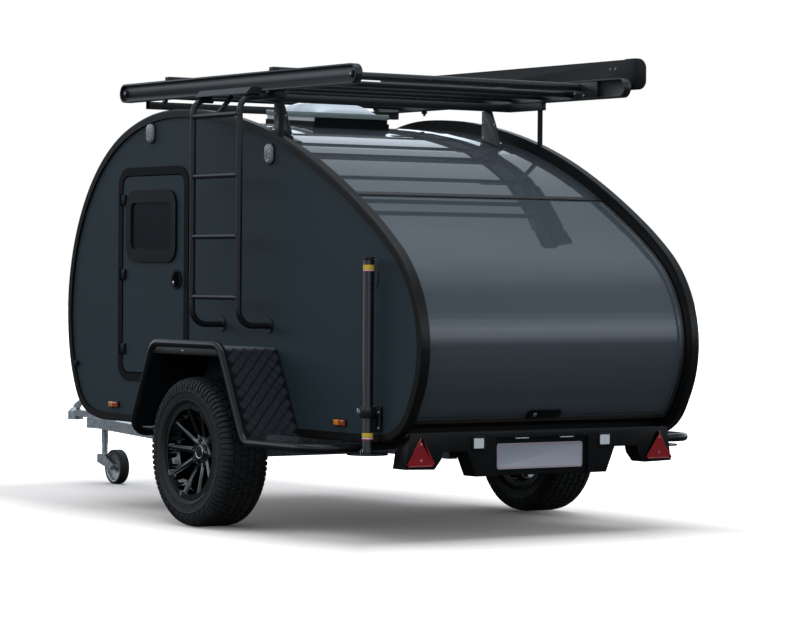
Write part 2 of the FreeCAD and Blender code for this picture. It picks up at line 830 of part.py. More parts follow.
def suspension_arms():
    """Trailing arms with the stub axles that carry the wheels."""
    x = axle_x + arm_length
    z = drawbar_top - beam_size / 2
    y0, y1 = beam_half, beam_half + arm_width
    ends = [rod((x, y0, z), (x, y1, z), 40), rod((axle_x, y0, tyre_radius), (axle_x, y1, tyre_radius), 36)]
    corners = [(axle_x, tyre_radius - 32), (x, z - 34), (x, z + 34), (axle_x, tyre_radius + 32)]
    web = polygon_xz(corners, y0, y1)
    stub = rod((axle_x, y0, tyre_radius), (axle_x, wheel_track / 2 + 25, tyre_radius), stub_radius)
    arm = fused(ends + [web, stub])
    return [arm, mirrored(arm)]


# ---- wheels -----------------------------------------------------------------
def turned(points, centre):
    """Ring from corners (radius, offset), turned about an axis across the trailer."""
    x, y, z = centre
    wire = Part.makePolygon([V(x + r, y + w, z) for r, w in points + points[:1]])
    return Part.Face(wire).revolve(V(x, y, z), V(0, 1, 0), 360)


def wheel_ring(points):
    """Ring from corners (radius, offset from the wheel's middle) about the left wheel's axis."""
    return turned(points, (axle_x, wheel_track / 2, tyre_radius))


def tyre():
    """Left tyre: beads on the rim, bulged side walls, a crowned tread, and open inside."""
    half = tyre_width / 2
    bead = -rim_width / 2 + rim_lip_width + fit_gap
    wall = tyre_wall
    top = tyre_radius
    section = [(rim_radius + fit_gap, bead), (rim_lip_radius + 1, bead), (rim_lip_radius + 12, -half + 10),
               (top - 68, -half), (top - 30, -half + 6), (top - 8, -half + 22), (top, -half + 55)]
    cavity = [(top - 22, -half + 45), (top - 45, -half + wall), (rim_lip_radius + 33, -half + wall),
              (rim_radius + fit_gap, bead + wall)]
    ring = section + [(r, -w) for r, w in reversed(section)] + [(r, -w) for r, w in reversed(cavity)] + cavity
    return wheel_ring(ring)


def hub():
    """Brake drum, wheel pad and centre cap, bored for the stub axle."""
    bore = stub_radius + pin_gap
    face = hub_face
    return wheel_ring([(bore, -100), (drum_radius, -100), (drum_radius, -25), (hub_radius, -20),
                       (hub_radius, face - 8), (hub_radius - 8, face), (hub_cap_radius, face),
                       (hub_cap_radius - 2, face + 6), (0, face + 9), (0, face - 20), (bore, face - 20)])


def spoke_section(radius, half, face, depth):
    """Closed section across a spoke at a radius, with a ridge along its outer face."""
    y = wheel_track / 2 + face
    z = tyre_radius + radius
    shoulder = y - spoke_ridge
    corners = [(-half, y - depth), (-half, shoulder), (0, y), (half, shoulder), (half, y - depth)]
    return Part.makePolygon([V(axle_x + x, w, z) for x, w in corners + corners[:1]])


def rim_barrel():
    """Rim barrel: lips, bead seats and a drop centre, at one wall thickness."""
    half = rim_width / 2
    seat, edge, lip = rim_radius, rim_lip_radius, rim_lip_width
    flare = rim_well_half + 22
    outside = [(edge, -half), (edge, -half + lip - 4), (seat, -half + lip), (seat, -flare),
               (rim_well_radius, -rim_well_half), (rim_well_radius, rim_well_half), (seat, flare),
               (seat, half - lip), (edge, half - lip + 4), (edge, half)]
    inside = [(seat, half), (seat, flare + 4), (rim_well_radius, rim_well_half + 4),
              (rim_well_radius, -rim_well_half - 4), (seat, -flare - 4), (seat, -half)]
    return wheel_ring(outside + [(r - rim_thickness, w) for r, w in inside])


def rim():
    """Left rim: ridged spokes that rise from a deep hub to the outer lip, and lug pockets."""
    centre = V(axle_x, wheel_track / 2, tyre_radius)
    axis = V(0, 1, 0)
    root = spoke_section(spoke_root, spoke_root_half, hub_face - 2, spoke_root_depth)
    tip = spoke_section(rim_radius - 3, spoke_tip_half, spoke_tip_face, spoke_tip_depth)
    parts = [rim_barrel(), hub()]
    for i in range(spoke_count):
        spoke = Part.makeLoft([root, tip], True, True)
        spoke.rotate(centre, axis, spoke_turn + 360.0 / spoke_count * i)
        parts.append(spoke)
    whole = fused(parts)
    y = centre.y + hub_face
    for i in range(lug_count):
        z = tyre_radius + lug_circle
        pocket = rod((axle_x, y - 14, z), (axle_x, y + 5, z), lug_pocket)
        pocket.rotate(centre, axis, 360.0 / lug_count * i)
        whole = whole.cut(pocket)
    return whole


# ---- fenders ----------------------------------------------------------------
def fender_top_z():
    """Height of the fender tube's middle line over the wheel."""
    return 2 * tyre_radius + fender_rise


def fender_line():
    """Corners of the fender tube's middle line in the side view, from the rear."""
    low = fender_low_length / 2
    high = fender_top_length / 2
    top = fender_top_z()
    return [(fender_low_middle - low, fender_low_z), (fender_top_middle - high, top),
            (fender_top_middle + high, top), (fender_low_middle + low, fender_low_z)]


def fender_tube_left():
    """Bent tube from the chassis rail, along the body and over the wheel, and back in under the floor."""
    inner, rail = rail_spans()
    over = [(x, fender_y, z) for x, z in fender_line()]
    back = [(fender_rear_end_x, rail - 5, fender_low_z), (fender_rear_x, fender_y, fender_low_z)]
    route = back + over + [(over[-1][0], rail - 5, fender_low_z)]
    bends = [fender_rear_bend] + [fender_bend] * 3 + [fender_front_bend]
    tube = bent_tube(route, bends, fender_tube).cut(bent_tube(route, bends, fender_tube - tube_wall))
    return tube.cut(box(tail_x, front_x, inner, rail, drawbar_top, chassis_top))


def fender_plate_line(depth):
    """Corners of a line at a depth below the fender tube's middle, from the rear."""
    (xa, za), (xb, zb), (xc, _), (xd, _) = fender_line()
    start = za + 30.0
    drop = zb - za
    corners = []
    for low_x, high_x, way in ((xa, xb, 1), (xd, xc, -1)):
        run = abs(high_x - low_x)
        slope = math.hypot(run, drop)
        along = depth * slope / drop
        low = (low_x + way * ((start - za) * run / drop + along), start)
        high = (low_x + way * ((drop - depth) * run / drop + along), zb - depth)
        corners += [low, high] if way > 0 else [high, low]
    return corners


def fender_plate_left():
    """Folded plate between the tube and the wall, with a downstand under the top tube."""
    offset = fender_tube + 0.2
    under = offset + fender_plate_thickness
    outer = fender_plate_line(offset)
    inner = fender_plate_line(under)
    plate = polygon_xz(outer + inner[::-1], wall_face, fender_y)
    folds = [(outer[1:3], fender_bend - offset), (inner[1:3], fender_bend - under)]
    for corners, radius in folds:
        edges = [e for e in plate.Edges if any(math.hypot(e.CenterOfMass.x - x, e.CenterOfMass.z - z) < 0.1
                                               for x, z in corners)]
        plate = plate.makeFillet(radius, edges)
    low = body_base + trim_cover + fit_gap
    reach = fender_low_length
    trim = box(axle_x - reach, axle_x + reach, wall_face - 1, trim_half_width + fit_gap, body_base - 50, low)
    z = fender_top_z()
    edge = fender_y - fender_plate_thickness
    flange = box(inner[1][0] + fender_bend, inner[2][0] - fender_bend, edge, fender_y,
                 z - fender_tube - fender_flange, z - under + 1)
    return fused([plate.cut(trim), flange])


# ---- roof rack --------------------------------------------------------------
def rack_bar_z():
    """Underside of the rack's base bars."""
    return roof_z + rack_gap


def rack_rail_z():
    """Middle height of the side rails."""
    return rack_bar_z() + rack_bar + rack_rail_height / 2


def stadium(x0, x1, z, height, y0, y1):
    """Bar with round ends in the side view."""
    return rounded_xz(x0, x1, z - height / 2, z + height / 2, height / 2 - 0.01, y0, y1)


def rack_side_rails():
    """Side rails: round-ended rims with a recessed web and a boss at each end."""
    z = rack_rail_z()
    y0, y1 = rack_y - rack_rail_width / 2, rack_y + rack_rail_width / 2
    x0, x1 = rack_back_x, rack_back_x + rack_length
    rail = stadium(x0, x1, z, rack_rail_height, y0, y1)
    pocket = rack_rail_height - 2 * rack_rim
    for a, b in ((y0 - 1, rack_y - rack_web / 2), (rack_y + rack_web / 2, y1 + 1)):
        rail = rail.cut(stadium(x0 + rack_rim, x1 - rack_rim, z, pocket, a, b))
    end = rack_rail_height / 2
    bosses = [rod((x, rack_y, z), (x, y1 - 4, z), rack_boss_radius) for x in (x0 + end, x1 - end)]
    rail = fused([rail] + bosses)
    return [rail, mirrored(rail)]


def rack_slats():
    """Round slats between the side rails, with a thicker one near the rear end."""
    z = rack_rail_z()
    end = rack_y - rack_web / 2
    slats = [(slat_first_x + i * slat_pitch, z - slat_z_drop, slat_radius) for i in range(slat_count)]
    slats.append((end_slat_x, z + end_slat_rise, end_slat_radius))
    tubes = []
    for x, height, radius in slats:
        bar = rod((x, -end, height), (x, end, height), radius)
        tubes.append(bar.cut(rod((x, -end, height), (x, end, height), radius - tube_wall)))
    return tubes


def rack_bars():
    """Square base bars across the body; arms behind the rear one stand on the edge trims."""
    z = rack_bar_z()
    wide = rack_bar / 2
    bars = [box_section(x - wide, x + wide, -rack_bar_half, rack_bar_half, z, z + rack_bar, 1)
            for x in rack_bar_stations]
    x = rack_bar_stations[1]
    inner = wall_inner + 2
    leg_y = inner + rack_arm / 2
    arm = box(rack_leg_x - rack_arm, x + wide, inner, inner + rack_arm, z, z + rack_bar)
    half = rack_leg / 2
    leg = box(rack_leg_x - half, rack_leg_x + half, leg_y - half, leg_y + half, z - 400, z)
    side = fused([arm, leg.cut(outline_slab(-fit_gap, wall_inner, trim_half_width))])
    bars[1] = fused([bars[1], side, mirrored(side)])
    return bars


def rack_brackets():
    """Plates from the roof up to the base bars, each with a foot."""
    inner, outer = bracket_y - bracket_plate / 2, bracket_y + bracket_plate / 2
    foot_in, foot_out = bracket_y - bracket_foot, bracket_y + bracket_foot
    brackets = []
    for x in rack_bar_stations:
        top = rack_bar_z()
        low = min(surface_z(x - 149, skin_inset), surface_z(x + 41, skin_inset)) - 20
        plate = polygon_xz([(x - 41, top), (x + 41, top), (x + 41, low), (x - 149, low)], inner, outer)
        foot = outline_band(skin_inset - 4, skin_inset, foot_in, foot_out)
        foot = foot.common(box(x - 160, x + 55, foot_in, foot_out, low - 30, top))
        plate = plate.cut(outline_slab(skin_inset, inner - 1, outer + 1))
        brackets.append(fused([plate, foot]))
    return brackets + [mirrored(b) for b in brackets]


def rack_clamps():
    """Clamps of the side rails: a plate on top and a block with its bolt below."""
    low = rack_bar_z() + rack_bar
    top = low + rack_rail_height
    edge = rack_y + rack_rail_width / 2
    clamps = []
    for x in rack_clamp_stations:
        clamps.append(box(x - 20, x + 20, rack_y - 160, rack_y, top, top + 20))
        block = box(x - 14, x + 14, rack_y + 2, edge, low - 14, low)
        bolt = rod((x, edge - 9, low - 26), (x, edge - 9, low - 14), 7)
        clamps.append(fused([block, bolt]))
    return clamps + [mirrored(c) for c in clamps]


def awning():
    """Rolled awning in its cassette with end caps, and the brackets that hold it on the right rail."""
    middle = rack_rail_z()
    inner = -rack_y - rack_rail_width / 2
    face = inner - awning_gap
    x0, x1 = awning_back_x, awning_back_x + awning_length
    z0 = middle - awning_low
    pieces = []
    caps = [(x0, x0 + awning_cap_length, 0.0), (x0 + awning_cap_length, x1 - awning_cap_length, 3.0),
            (x1 - awning_cap_length, x1, 0.0)]
    for a, b, inset in caps:
        block = box(a, b, face - awning_depth + inset, face, z0 + inset, z0 + awning_height - inset)
        outer = [e for e in block.Edges
                 if abs(e.tangentAt(e.FirstParameter).x) > 0.99 and e.BoundBox.YMax < face - 1]
        pieces.append(block.makeFillet(awning_round, outer))
    for x in (x0 + 250, x1 - 250):
        pieces.append(box(x - 30, x + 30, face, inner, middle + 6, middle + 40))
    return fused(pieces)


# ---- ladder -----------------------------------------------------------------
def ladder_step():
    """Folded top step: a leaning front, a flat top and a gusset at each end."""
    x0, x1 = ladder_back_x - step_overhang, ladder_back_x + ladder_width + step_overhang
    front = ladder_y - 23
    back = front - step_lean
    inner = ladder_y - 112
    top = step_z + step_rise
    sheet = step_sheet
    low = step_z - sheet
    profile = [(front, step_z), (back, top), (inner, top), (inner, top - sheet), (back - sheet, top - sheet),
               (front - 2 * sheet, step_z), (front - 2 * sheet, low), (front, low)]
    gusset = [(front, low), (front, step_z), (back, top), (inner, top), (inner, low)]
    parts = [yz_prism(profile, x0, x1)]
    for x in (x0, x1 - sheet):
        parts.append(yz_prism(gusset, x, x + sheet))
    for x in (ladder_back_x, ladder_back_x + ladder_width):
        parts.append(box(x - 10, x + 10, inner + 8, back - 8, step_z - 6, top - 1))
    return fused(parts)


def ladder():
    """Ladder on the left wall: two bent rails, rungs, wall flanges, and a top step with its brace."""
    foot_z = fender_top_z() + ladder_foot_rise
    middle = ladder_back_x + ladder_width / 2
    sides = (ladder_back_x, ladder_back_x + ladder_width)
    bend_z = step_z - ladder_tube - 1
    last_z = step_z - rung_drop
    parts = []
    for x in sides:
        path = [(x, wall_face + 6, foot_z), (x, ladder_y, foot_z), (x, ladder_y, bend_z),
                (x, ladder_y - 110, bend_z)]
        parts.append(bent_tube(path, [ladder_bend, ladder_bend - 10], ladder_tube))
        parts.append(rod((x, wall_face, foot_z), (x, wall_face + 8, foot_z), ladder_flange))
    low = foot_z + rung_rise
    pitch = (last_z - low) / (rung_count - 1)
    for i in range(rung_count):
        z = low + i * pitch
        parts.append(rod((sides[0], ladder_y, z), (sides[1], ladder_y, z), ladder_tube - 2))
    parts.append(rod((middle, ladder_y, last_z), (middle, ladder_y - 90, bend_z + 10), ladder_tube - 3))
    parts.append(ladder_step())
    return fused(parts)


# ---- rear light panel -------------------------------------------------------
def yz_prism(points, x0, x1):
    """Prism along the trailer from corners (y, z)."""
    wire = Part.makePolygon([V(x0, y, z) for y, z in points + points[:1]])
    return Part.Face(wire).extrude(V(x1 - x0, 0, 0))


def panel_outline():
    """Corners (y, z) of the light panel: a middle with a lobe at each end."""
    wide = trim_half_width
    left = [(wide - 59, panel_top_z), (wide - 31, panel_lobe_low_z + 2), (wide - 196, panel_lobe_low_z - 2),
            (wide - 234, panel_notch_z - 35), (wide - 241, panel_notch_z), (panel_notch_half, panel_notch_z),
            (panel_middle_half, panel_low_z)]
    return left + [(-y, z) for y, z in reversed(left)]


def light_panel():
    """Rear panel shell with a deep middle, raised cut-outs and a lobe at each end."""
    front, back = panel_back_x, panel_back_x + panel_depth
    panel = yz_prism(panel_outline(), front, back)
    rear_face = [f for f in panel.Faces if f.BoundBox.XMax < front + 0.1][0]
    inside = rear_face.makeOffset2D(-panel_wall, 2).translated(V(panel_wall, 0, 0))
    hollow = Part.Face(inside.Wires[0]).extrude(V(panel_depth, 0, 0))
    half = plate_recess_half
    recess = box(front - 1, front + plate_recess, -half, half, panel_low_z - 3, plate_recess_top)
    well = box(front, front + plate_recess + panel_wall, -half - panel_wall, half + panel_wall,
               panel_low_z, plate_recess_top + panel_wall).cut(recess)
    shell = fused([panel.cut(hollow).cut(recess), well])
    body = outline_slab(-fit_gap, -trim_half_width - fit_gap, trim_half_width + fit_gap)
    behind = box(front + panel_wall, back + 1, -trim_half_width, trim_half_width, body_base, roof_z)
    between = box(tail_x, front_x, -wall_inner + fit_gap, wall_inner - fit_gap, body_base - 1, roof_z)
    return shell.cut(body.cut(between)).cut(behind.common(body))


def number_plate():
    """Blank plate in the panel's recess."""
    x = panel_back_x + plate_recess
    return box(x - plate_thickness, x, -plate_width / 2, plate_width / 2,
               plate_z - plate_height / 2, plate_z + plate_height / 2)


def tail_reflectors():
    """Red triangles on the panel's lobes."""
    height = triangle_side * math.sqrt(3) / 2
    half = triangle_side / 2
    y, z = triangle_y, triangle_z
    corners = [(y - half, z), (y + half, z), (y, z + height)]
    piece = yz_prism(corners, panel_back_x - triangle_proud, panel_back_x)
    return [piece, mirrored(piece)]


def reversing_lamps():
    """Square lamps beside the number plate."""
    half = lamp_width / 2
    rise = lamp_height / 2
    lamp = box(panel_back_x - lamp_proud, panel_back_x, lamp_y - half, lamp_y + half,
               lamp_z - rise, lamp_z + rise)
    return [lamp, mirrored(lamp)]


def side_markers():
    """Amber markers low on both walls."""
    half = marker_length / 2
    rise = marker_height / 2
    lamps = [box(x - half, x + half, wall_face, wall_face + marker_proud, z - rise, z + rise)
             for x, z in marker_stations]
    return lamps + [mirrored(lamp) for lamp in lamps]


def wall_lamps():
    """Oval lamps high on both walls."""
    lamps = []
    r = wall_lamp_radius
    for x, z in wall_lamp_stations:
        ends = [Part.makeCylinder(r, wall_lamp_proud, V(x, wall_face, z + rise), V(0, 1, 0))
                for rise in (-wall_lamp_half, wall_lamp_half)]
        middle = box(x - r, x + r, wall_face, wall_face + wall_lamp_proud,
                     z - wall_lamp_half, z + wall_lamp_half)
        lamps.append(fused(ends + [middle]))
    return lamps + [mirrored(lamp) for lamp in lamps]


# ---- steadies and jockey wheel ----------------------------------------------
def steady_bracket():
    """Wall plate and clamp of the left steady."""
    x0, x1 = steady_x - steady_plate_half, steady_x + steady_plate_half
    face = trim_half_width
    plate = box(x0, x1, face, face + steady_plate_thickness, steady_plate_low_z, steady_plate_top_z)
    pad = box(x0 + 5, x1 - 5, wall_face, face, steady_plate_low_z, steady_plate_top_z - 5)
    pad = pad.common(outline_slab(trim_cover + fit_gap, wall_face, face))
    ring = Part.makeCylinder(steady_radius + steady_clamp_wall, steady_clamp_height,
                             V(steady_x, steady_y, steady_clamp_z))
    block = box(steady_x - 20, steady_x + 20, face, steady_y,
                steady_clamp_z, steady_clamp_z + steady_clamp_height)
    hole = Part.makeCylinder(steady_radius + pin_gap, 400, V(steady_x, steady_y, steady_clamp_z - 120))
    return fused([plate, pad, ring, block]).cut(hole)


def steady():
    """Left steady: tube with a foot."""
    x, y, low = steady_x, steady_y, steady_low_z
    sole = low + steady_foot_thickness
    tube = rod((x, y, low), (x, y, steady_top_z), steady_radius)
    bore = rod((x, y, sole), (x, y, steady_top_z - 6), steady_radius - steady_wall)
    foot = rod((x, y, low), (x, y, sole), steady_foot_radius)
    return fused([tube, foot]).cut(bore)


def jockey_mast():
    """Outer tube of the jockey wheel with its crank."""
    z = drawbar_top
    top = z - mast_drop + mast_length
    tube = Part.makeCylinder(mast_radius, mast_length, V(jockey_x, jockey_y, z - mast_drop))
    crank = rod((jockey_x, jockey_y, top), (jockey_x, jockey_y, top + 30), 8)
    arm = box(jockey_x - 8, jockey_x + 150, jockey_y - 8, jockey_y + 8, top + 26, top + 38)
    knob = rod((jockey_x + 140, jockey_y, top + 30), (jockey_x + 140, jockey_y, top + 120), 11)
    return fused([tube, crank, arm, knob])


def jockey_fork():
    """Spindle and fork that carry the jockey wheel behind the mast."""
    z1 = drawbar_top - mast_drop
    wheel_x = jockey_x - jockey_trail
    y0, y1 = jockey_y - fork_half, jockey_y + fork_half
    crown = fork_crown_z
    low = crown - fork_plate
    spindle = rod((jockey_x, jockey_y, low), (jockey_x, jockey_y, z1 - pin_gap), mast_radius - 3)
    parts = [spindle, box(jockey_x - 50, jockey_x + 22, y0, y1, crown - fork_plate, crown)]
    parts.append(box(jockey_x + 22 - fork_plate, jockey_x + 22, y0, y1, crown - 48, crown))
    corners = [(jockey_x + 22, crown), (jockey_x + 22, crown - 48), (wheel_x + 7, jockey_radius - 21),
               (wheel_x - 8, jockey_radius + 20), (jockey_x - 50, crown)]
    for inner in (y0, y1 - fork_plate):
        arm = polygon_xz(corners, inner, inner + fork_plate)
        eye = rod((wheel_x, inner, jockey_radius), (wheel_x, inner + fork_plate, jockey_radius), 22)
        parts += [arm, eye]
    parts.append(rod((wheel_x, y0 - 4, jockey_radius), (wheel_x, y1 + 4, jockey_radius), jockey_axle))
    for inner in (y0 - 10, y1):
        parts.append(rod((wheel_x, inner, jockey_radius), (wheel_x, inner + 10, jockey_radius), 13))
    return fused(parts)


def jockey_disc():
    """Dished pressed disc of the jockey wheel, with its boss and flared rim."""
    bore = jockey_axle + pin_gap
    edge = jockey_disc_radius
    boss = fork_half - fork_plate - 8
    flare = jockey_width / 2 - 4
    side = [(bore, boss), (17, boss), (17, 3), (36, 3), (edge - 15, 9), (edge - 7, flare - 3),
            (edge, flare)]
    other = [(edge, -flare), (edge - 7, -flare + 3), (edge - 15, 2), (36, -4), (17, -4), (17, -boss),
             (bore, -boss)]
    return turned(side + other, (jockey_x - jockey_trail, jockey_y, jockey_radius))


def jockey_tyre():
    """Solid rubber tyre of the jockey wheel."""
    x = jockey_x - jockey_trail
    half = jockey_width / 2
    low, high = (x, jockey_y - half, jockey_radius), (x, jockey_y + half, jockey_radius)
    tread = rod(low, high, jockey_radius)
    tread = tread.makeFillet(8, [e for e in tread.Edges if len(e.Vertexes) == 1])
    return tread.cut(rod(low, high, jockey_disc_radius))


# ---- output -----------------------------------------------------------------
def write(name, shapes):
    """Save one node from a shape or a list of separate solids."""
    if not isinstance(shapes, list):
        shapes = [shapes]
    solids = [s for shape in shapes for s in shape.Solids]
    assert solids and all(s.isValid() for s in solids), name
    whole = solids[0] if len(solids) == 1 else Part.makeCompound(solids)
    whole.exportStep("parts/" + name + ".step")
    print(name, len(solids), "solids", round(sum(s.Volume for s in solids) / 1e6, 2), "litres")


def both_sides(name, shape):
    """Save a left piece and its mirror image."""
    write(name + "_left", shape)
    write(name + "_right", mirrored(shape))


def main():
    os.makedirs("parts", exist_ok=True)
    both_sides("side_wall", side_wall())
    both_sides("edge_trim", edge_trim())
    write("floor_panel", floor())
    write("front_panel", front_panel())
    write("roof_panel", roof_panel())
    write("tail_sill", tail_sill())
    write("hatch_hinge", hatch_hinge())
    write("hatch_panel", hatch_panel())
    write("hatch_edges", hatch_edges())
    write("hatch_latch", hatch_latch())
    both_sides("door_frame", door_frame())
    both_sides("door_leaf", door_leaf())
    both_sides("window_frame", window_frame())
    both_sides("window_pane", window_pane())
    both_sides("door_lock", door_lock())
    write("bulkhead", bulkhead())
    write("galley_unit", galley_unit())
    write("mattress", mattress())
    write("rooflight_curb", rooflight_curb())
    write("rooflight_lid", rooflight_lid())
    write("chassis_rails", chassis_rails())
    write("crossmembers", crossmembers())
    write("drawbar", drawbar())
    write("coupling", coupling())
    write("handbrake", handbrake())
    write("jockey_clamp", jockey_clamp())
    write("axle_beam", axle_beam())
    write("suspension_arms", suspension_arms())
    both_sides("tyre", tyre())
    both_sides("rim", rim())
    tube = fender_tube_left()
    write("fender_tubes", [tube, mirrored(tube)])
    plate = fender_plate_left()
    write("fender_plates", [plate, mirrored(plate)])
    write("rack_side_rails", rack_side_rails())
    write("rack_slats", rack_slats())
    write("rack_bars", rack_bars())
    write("rack_brackets", rack_brackets() + rack_clamps())
    write("awning", awning())
    write("ladder", ladder())
    write("light_panel", light_panel())
    write("number_plate", number_plate())
    write("tail_reflectors", tail_reflectors())
    write("reversing_lamps", reversing_lamps())
    write("side_markers", side_markers())
    write("wall_lamps", wall_lamps())
    bracket = steady_bracket()
    write("steady_brackets", [bracket, mirrored(bracket)])
    both_sides("steady", steady())
    write("jockey_mast", jockey_mast())
    write("jockey_fork", jockey_fork())
    write("jockey_disc", jockey_disc())
    write("jockey_tyre", jockey_tyre())


main()
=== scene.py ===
import bpy
import bmesh
import json
import math
from mathutils import Matrix, Vector

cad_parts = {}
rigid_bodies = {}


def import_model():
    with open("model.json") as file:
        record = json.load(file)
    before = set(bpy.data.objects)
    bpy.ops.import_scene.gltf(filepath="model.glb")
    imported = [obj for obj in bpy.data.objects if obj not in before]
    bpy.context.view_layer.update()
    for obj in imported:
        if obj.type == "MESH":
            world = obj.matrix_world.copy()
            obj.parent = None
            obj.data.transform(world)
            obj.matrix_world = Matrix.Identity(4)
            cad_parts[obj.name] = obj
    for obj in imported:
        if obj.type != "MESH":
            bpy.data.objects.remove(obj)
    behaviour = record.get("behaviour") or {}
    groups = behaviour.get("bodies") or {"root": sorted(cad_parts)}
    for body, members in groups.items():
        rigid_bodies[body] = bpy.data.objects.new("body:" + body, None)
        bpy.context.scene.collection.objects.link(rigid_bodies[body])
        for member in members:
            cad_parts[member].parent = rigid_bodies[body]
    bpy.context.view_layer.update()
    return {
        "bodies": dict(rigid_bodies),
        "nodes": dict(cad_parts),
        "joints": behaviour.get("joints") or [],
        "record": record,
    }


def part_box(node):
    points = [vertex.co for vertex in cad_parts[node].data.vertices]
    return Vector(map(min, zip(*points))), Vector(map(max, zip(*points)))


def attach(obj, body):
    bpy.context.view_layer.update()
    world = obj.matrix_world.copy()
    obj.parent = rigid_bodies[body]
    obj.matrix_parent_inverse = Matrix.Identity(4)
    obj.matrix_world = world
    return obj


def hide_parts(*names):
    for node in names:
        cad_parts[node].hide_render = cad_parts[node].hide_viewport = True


# Off-road teardrop trailer: finishes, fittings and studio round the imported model, in metres

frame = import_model()
nodes = frame["nodes"]
sides = {"left": 1, "right": -1}
print("frame loaded:", len(nodes), "nodes")


# Modelling helpers

def deselectAll():
    if bpy.context.mode != "OBJECT":
        bpy.ops.object.mode_set(mode="OBJECT")
    bpy.ops.object.select_all(action="DESELECT")


def makeActive(piece):
    deselectAll()
    piece.select_set(True)
    bpy.context.view_layer.objects.active = piece


def newPiece(name):  # names the primitive that was just added
    piece = bpy.context.active_object
    piece.name = name
    piece.data.name = name
    return piece


def addBlock(name, low, high, soften=0.0, segments=2):
    deselectAll()
    middle = [(a + b) / 2 for a, b in zip(low, high)]
    bpy.ops.mesh.primitive_cube_add(size=1, location=middle)
    piece = newPiece(name)
    piece.scale = [b - a for a, b in zip(low, high)]
    placeInMesh(piece)
    if soften:
        bevelAll(piece, soften, segments)
    return piece


def addRod(name, start, end, radius, vertices=24, endRadius=None):
    deselectAll()
    start, end = Vector(start), Vector(end)
    bpy.ops.mesh.primitive_cone_add(vertices=vertices, radius1=radius, depth=(end - start).length,
                                    radius2=radius if endRadius is None else endRadius)
    piece = newPiece(name)
    turn = (end - start).to_track_quat("Z", "Y").to_matrix().to_4x4()
    piece.data.transform(Matrix.Translation((start + end) / 2) @ turn)
    return piece


def addRing(name, centre, axis, radius, thickness, around=48, across=12):
    deselectAll()
    bpy.ops.mesh.primitive_torus_add(major_radius=radius, minor_radius=thickness,
                                     major_segments=around, minor_segments=across)
    piece = newPiece(name)
    turn = Vector(axis).to_track_quat("Z", "Y").to_matrix().to_4x4()
    piece.data.transform(Matrix.Translation(centre) @ turn)
    return piece


def placeInMesh(piece):
    makeActive(piece)
    bpy.ops.object.transform_apply(location=True, rotation=True, scale=True)


def editSelected(piece, faceRule=None, edgeRule=None, vertRule=None):  # opens edit mode with what the rule picks
    makeActive(piece)
    bpy.ops.object.mode_set(mode="EDIT")
    mode = "FACE" if faceRule else "EDGE" if edgeRule else "VERT"
    bpy.ops.mesh.select_mode(type=mode)
    bpy.ops.mesh.select_all(action="DESELECT")
    mesh = bmesh.from_edit_mesh(piece.data)
    rule = faceRule or edgeRule or vertRule
    for part in mesh.faces if faceRule else mesh.edges if edgeRule else mesh.verts:
        if rule(part):
            part.select_set(True)
    mesh.select_flush_mode()
    bmesh.update_edit_mesh(piece.data)


def editDone():
    bpy.ops.object.mode_set(mode="OBJECT")


def bevelPicked(piece, edgeRule, width, segments=3):
    editSelected(piece, edgeRule=edgeRule)
    bpy.ops.mesh.bevel(offset=width, offset_type="OFFSET", segments=segments, profile=0.5, affect="EDGES",
                       clamp_overlap=True)
    editDone()


def above(axis, limit):  # rule for edges that lie wholly past a limit along x, y or z
    return lambda edge: all(getattr(v.co, axis) > limit for v in edge.verts)


def below(axis, limit):
    return lambda edge: all(getattr(v.co, axis) < limit for v in edge.verts)


def runsAlong(axis, least=0.001):  # rule for edges that go along x, y or z
    return lambda edge: abs(getattr(edge.verts[0].co, axis) - getattr(edge.verts[1].co, axis)) > least


def insetFaces(piece, faceRule, rims, shift=(0, 0, 0)):  # one inset inside the other, with the last face moved
    editSelected(piece, faceRule=faceRule)
    for rim in rims:
        bpy.ops.mesh.inset(thickness=rim)
    if any(shift):
        bpy.ops.transform.translate(value=shift)
    editDone()


def applyModifier(piece, kind, **settings):
    makeActive(piece)
    modifier = piece.modifiers.new(kind.lower(), kind)
    for label, value in settings.items():
        setattr(modifier, label, value)
    bpy.ops.object.modifier_apply(modifier=modifier.name)


def bevelAll(piece, width, segments=2):  # rounds every edge sharper than 30 degrees
    applyModifier(piece, "BEVEL", width=width, segments=segments, limit_method="ANGLE",
                  angle_limit=math.radians(30), use_clamp_overlap=True)


def smoothByAngle(piece, angle=35):
    makeActive(piece)
    bpy.ops.object.shade_smooth_by_angle(angle=math.radians(angle))


def copyPiece(piece, name, matrix=None):
    twin = piece.copy()
    twin.data = piece.data.copy()
    twin.name = name
    twin.data.name = name
    bpy.context.scene.collection.objects.link(twin)
    if matrix is not None:
        twin.data.transform(matrix)
        if matrix.determinant() < 0:
            twin.data.flip_normals()
    return twin


def mirrorPiece(piece, name):
    return copyPiece(piece, name, Matrix.Diagonal((1, -1, 1, 1)))


def joinPieces(name, pieces):
    deselectAll()
    for piece in pieces:
        piece.select_set(True)
    bpy.context.view_layer.objects.active = pieces[0]
    if len(pieces) > 1:
        bpy.ops.object.join()
    return newPiece(name)


def turnAbout(centre, axis, degrees):
    centre = Vector(centre)
    return Matrix.Translation(centre) @ Matrix.Rotation(math.radians(degrees), 4, axis) @ Matrix.Translation(-centre)


def rightWayOut(piece, merge=0.00005):
    editSelected(piece, vertRule=lambda v: True)
    bpy.ops.mesh.remove_doubles(threshold=merge)
    bpy.ops.mesh.normals_make_consistent(inside=False)
    editDone()


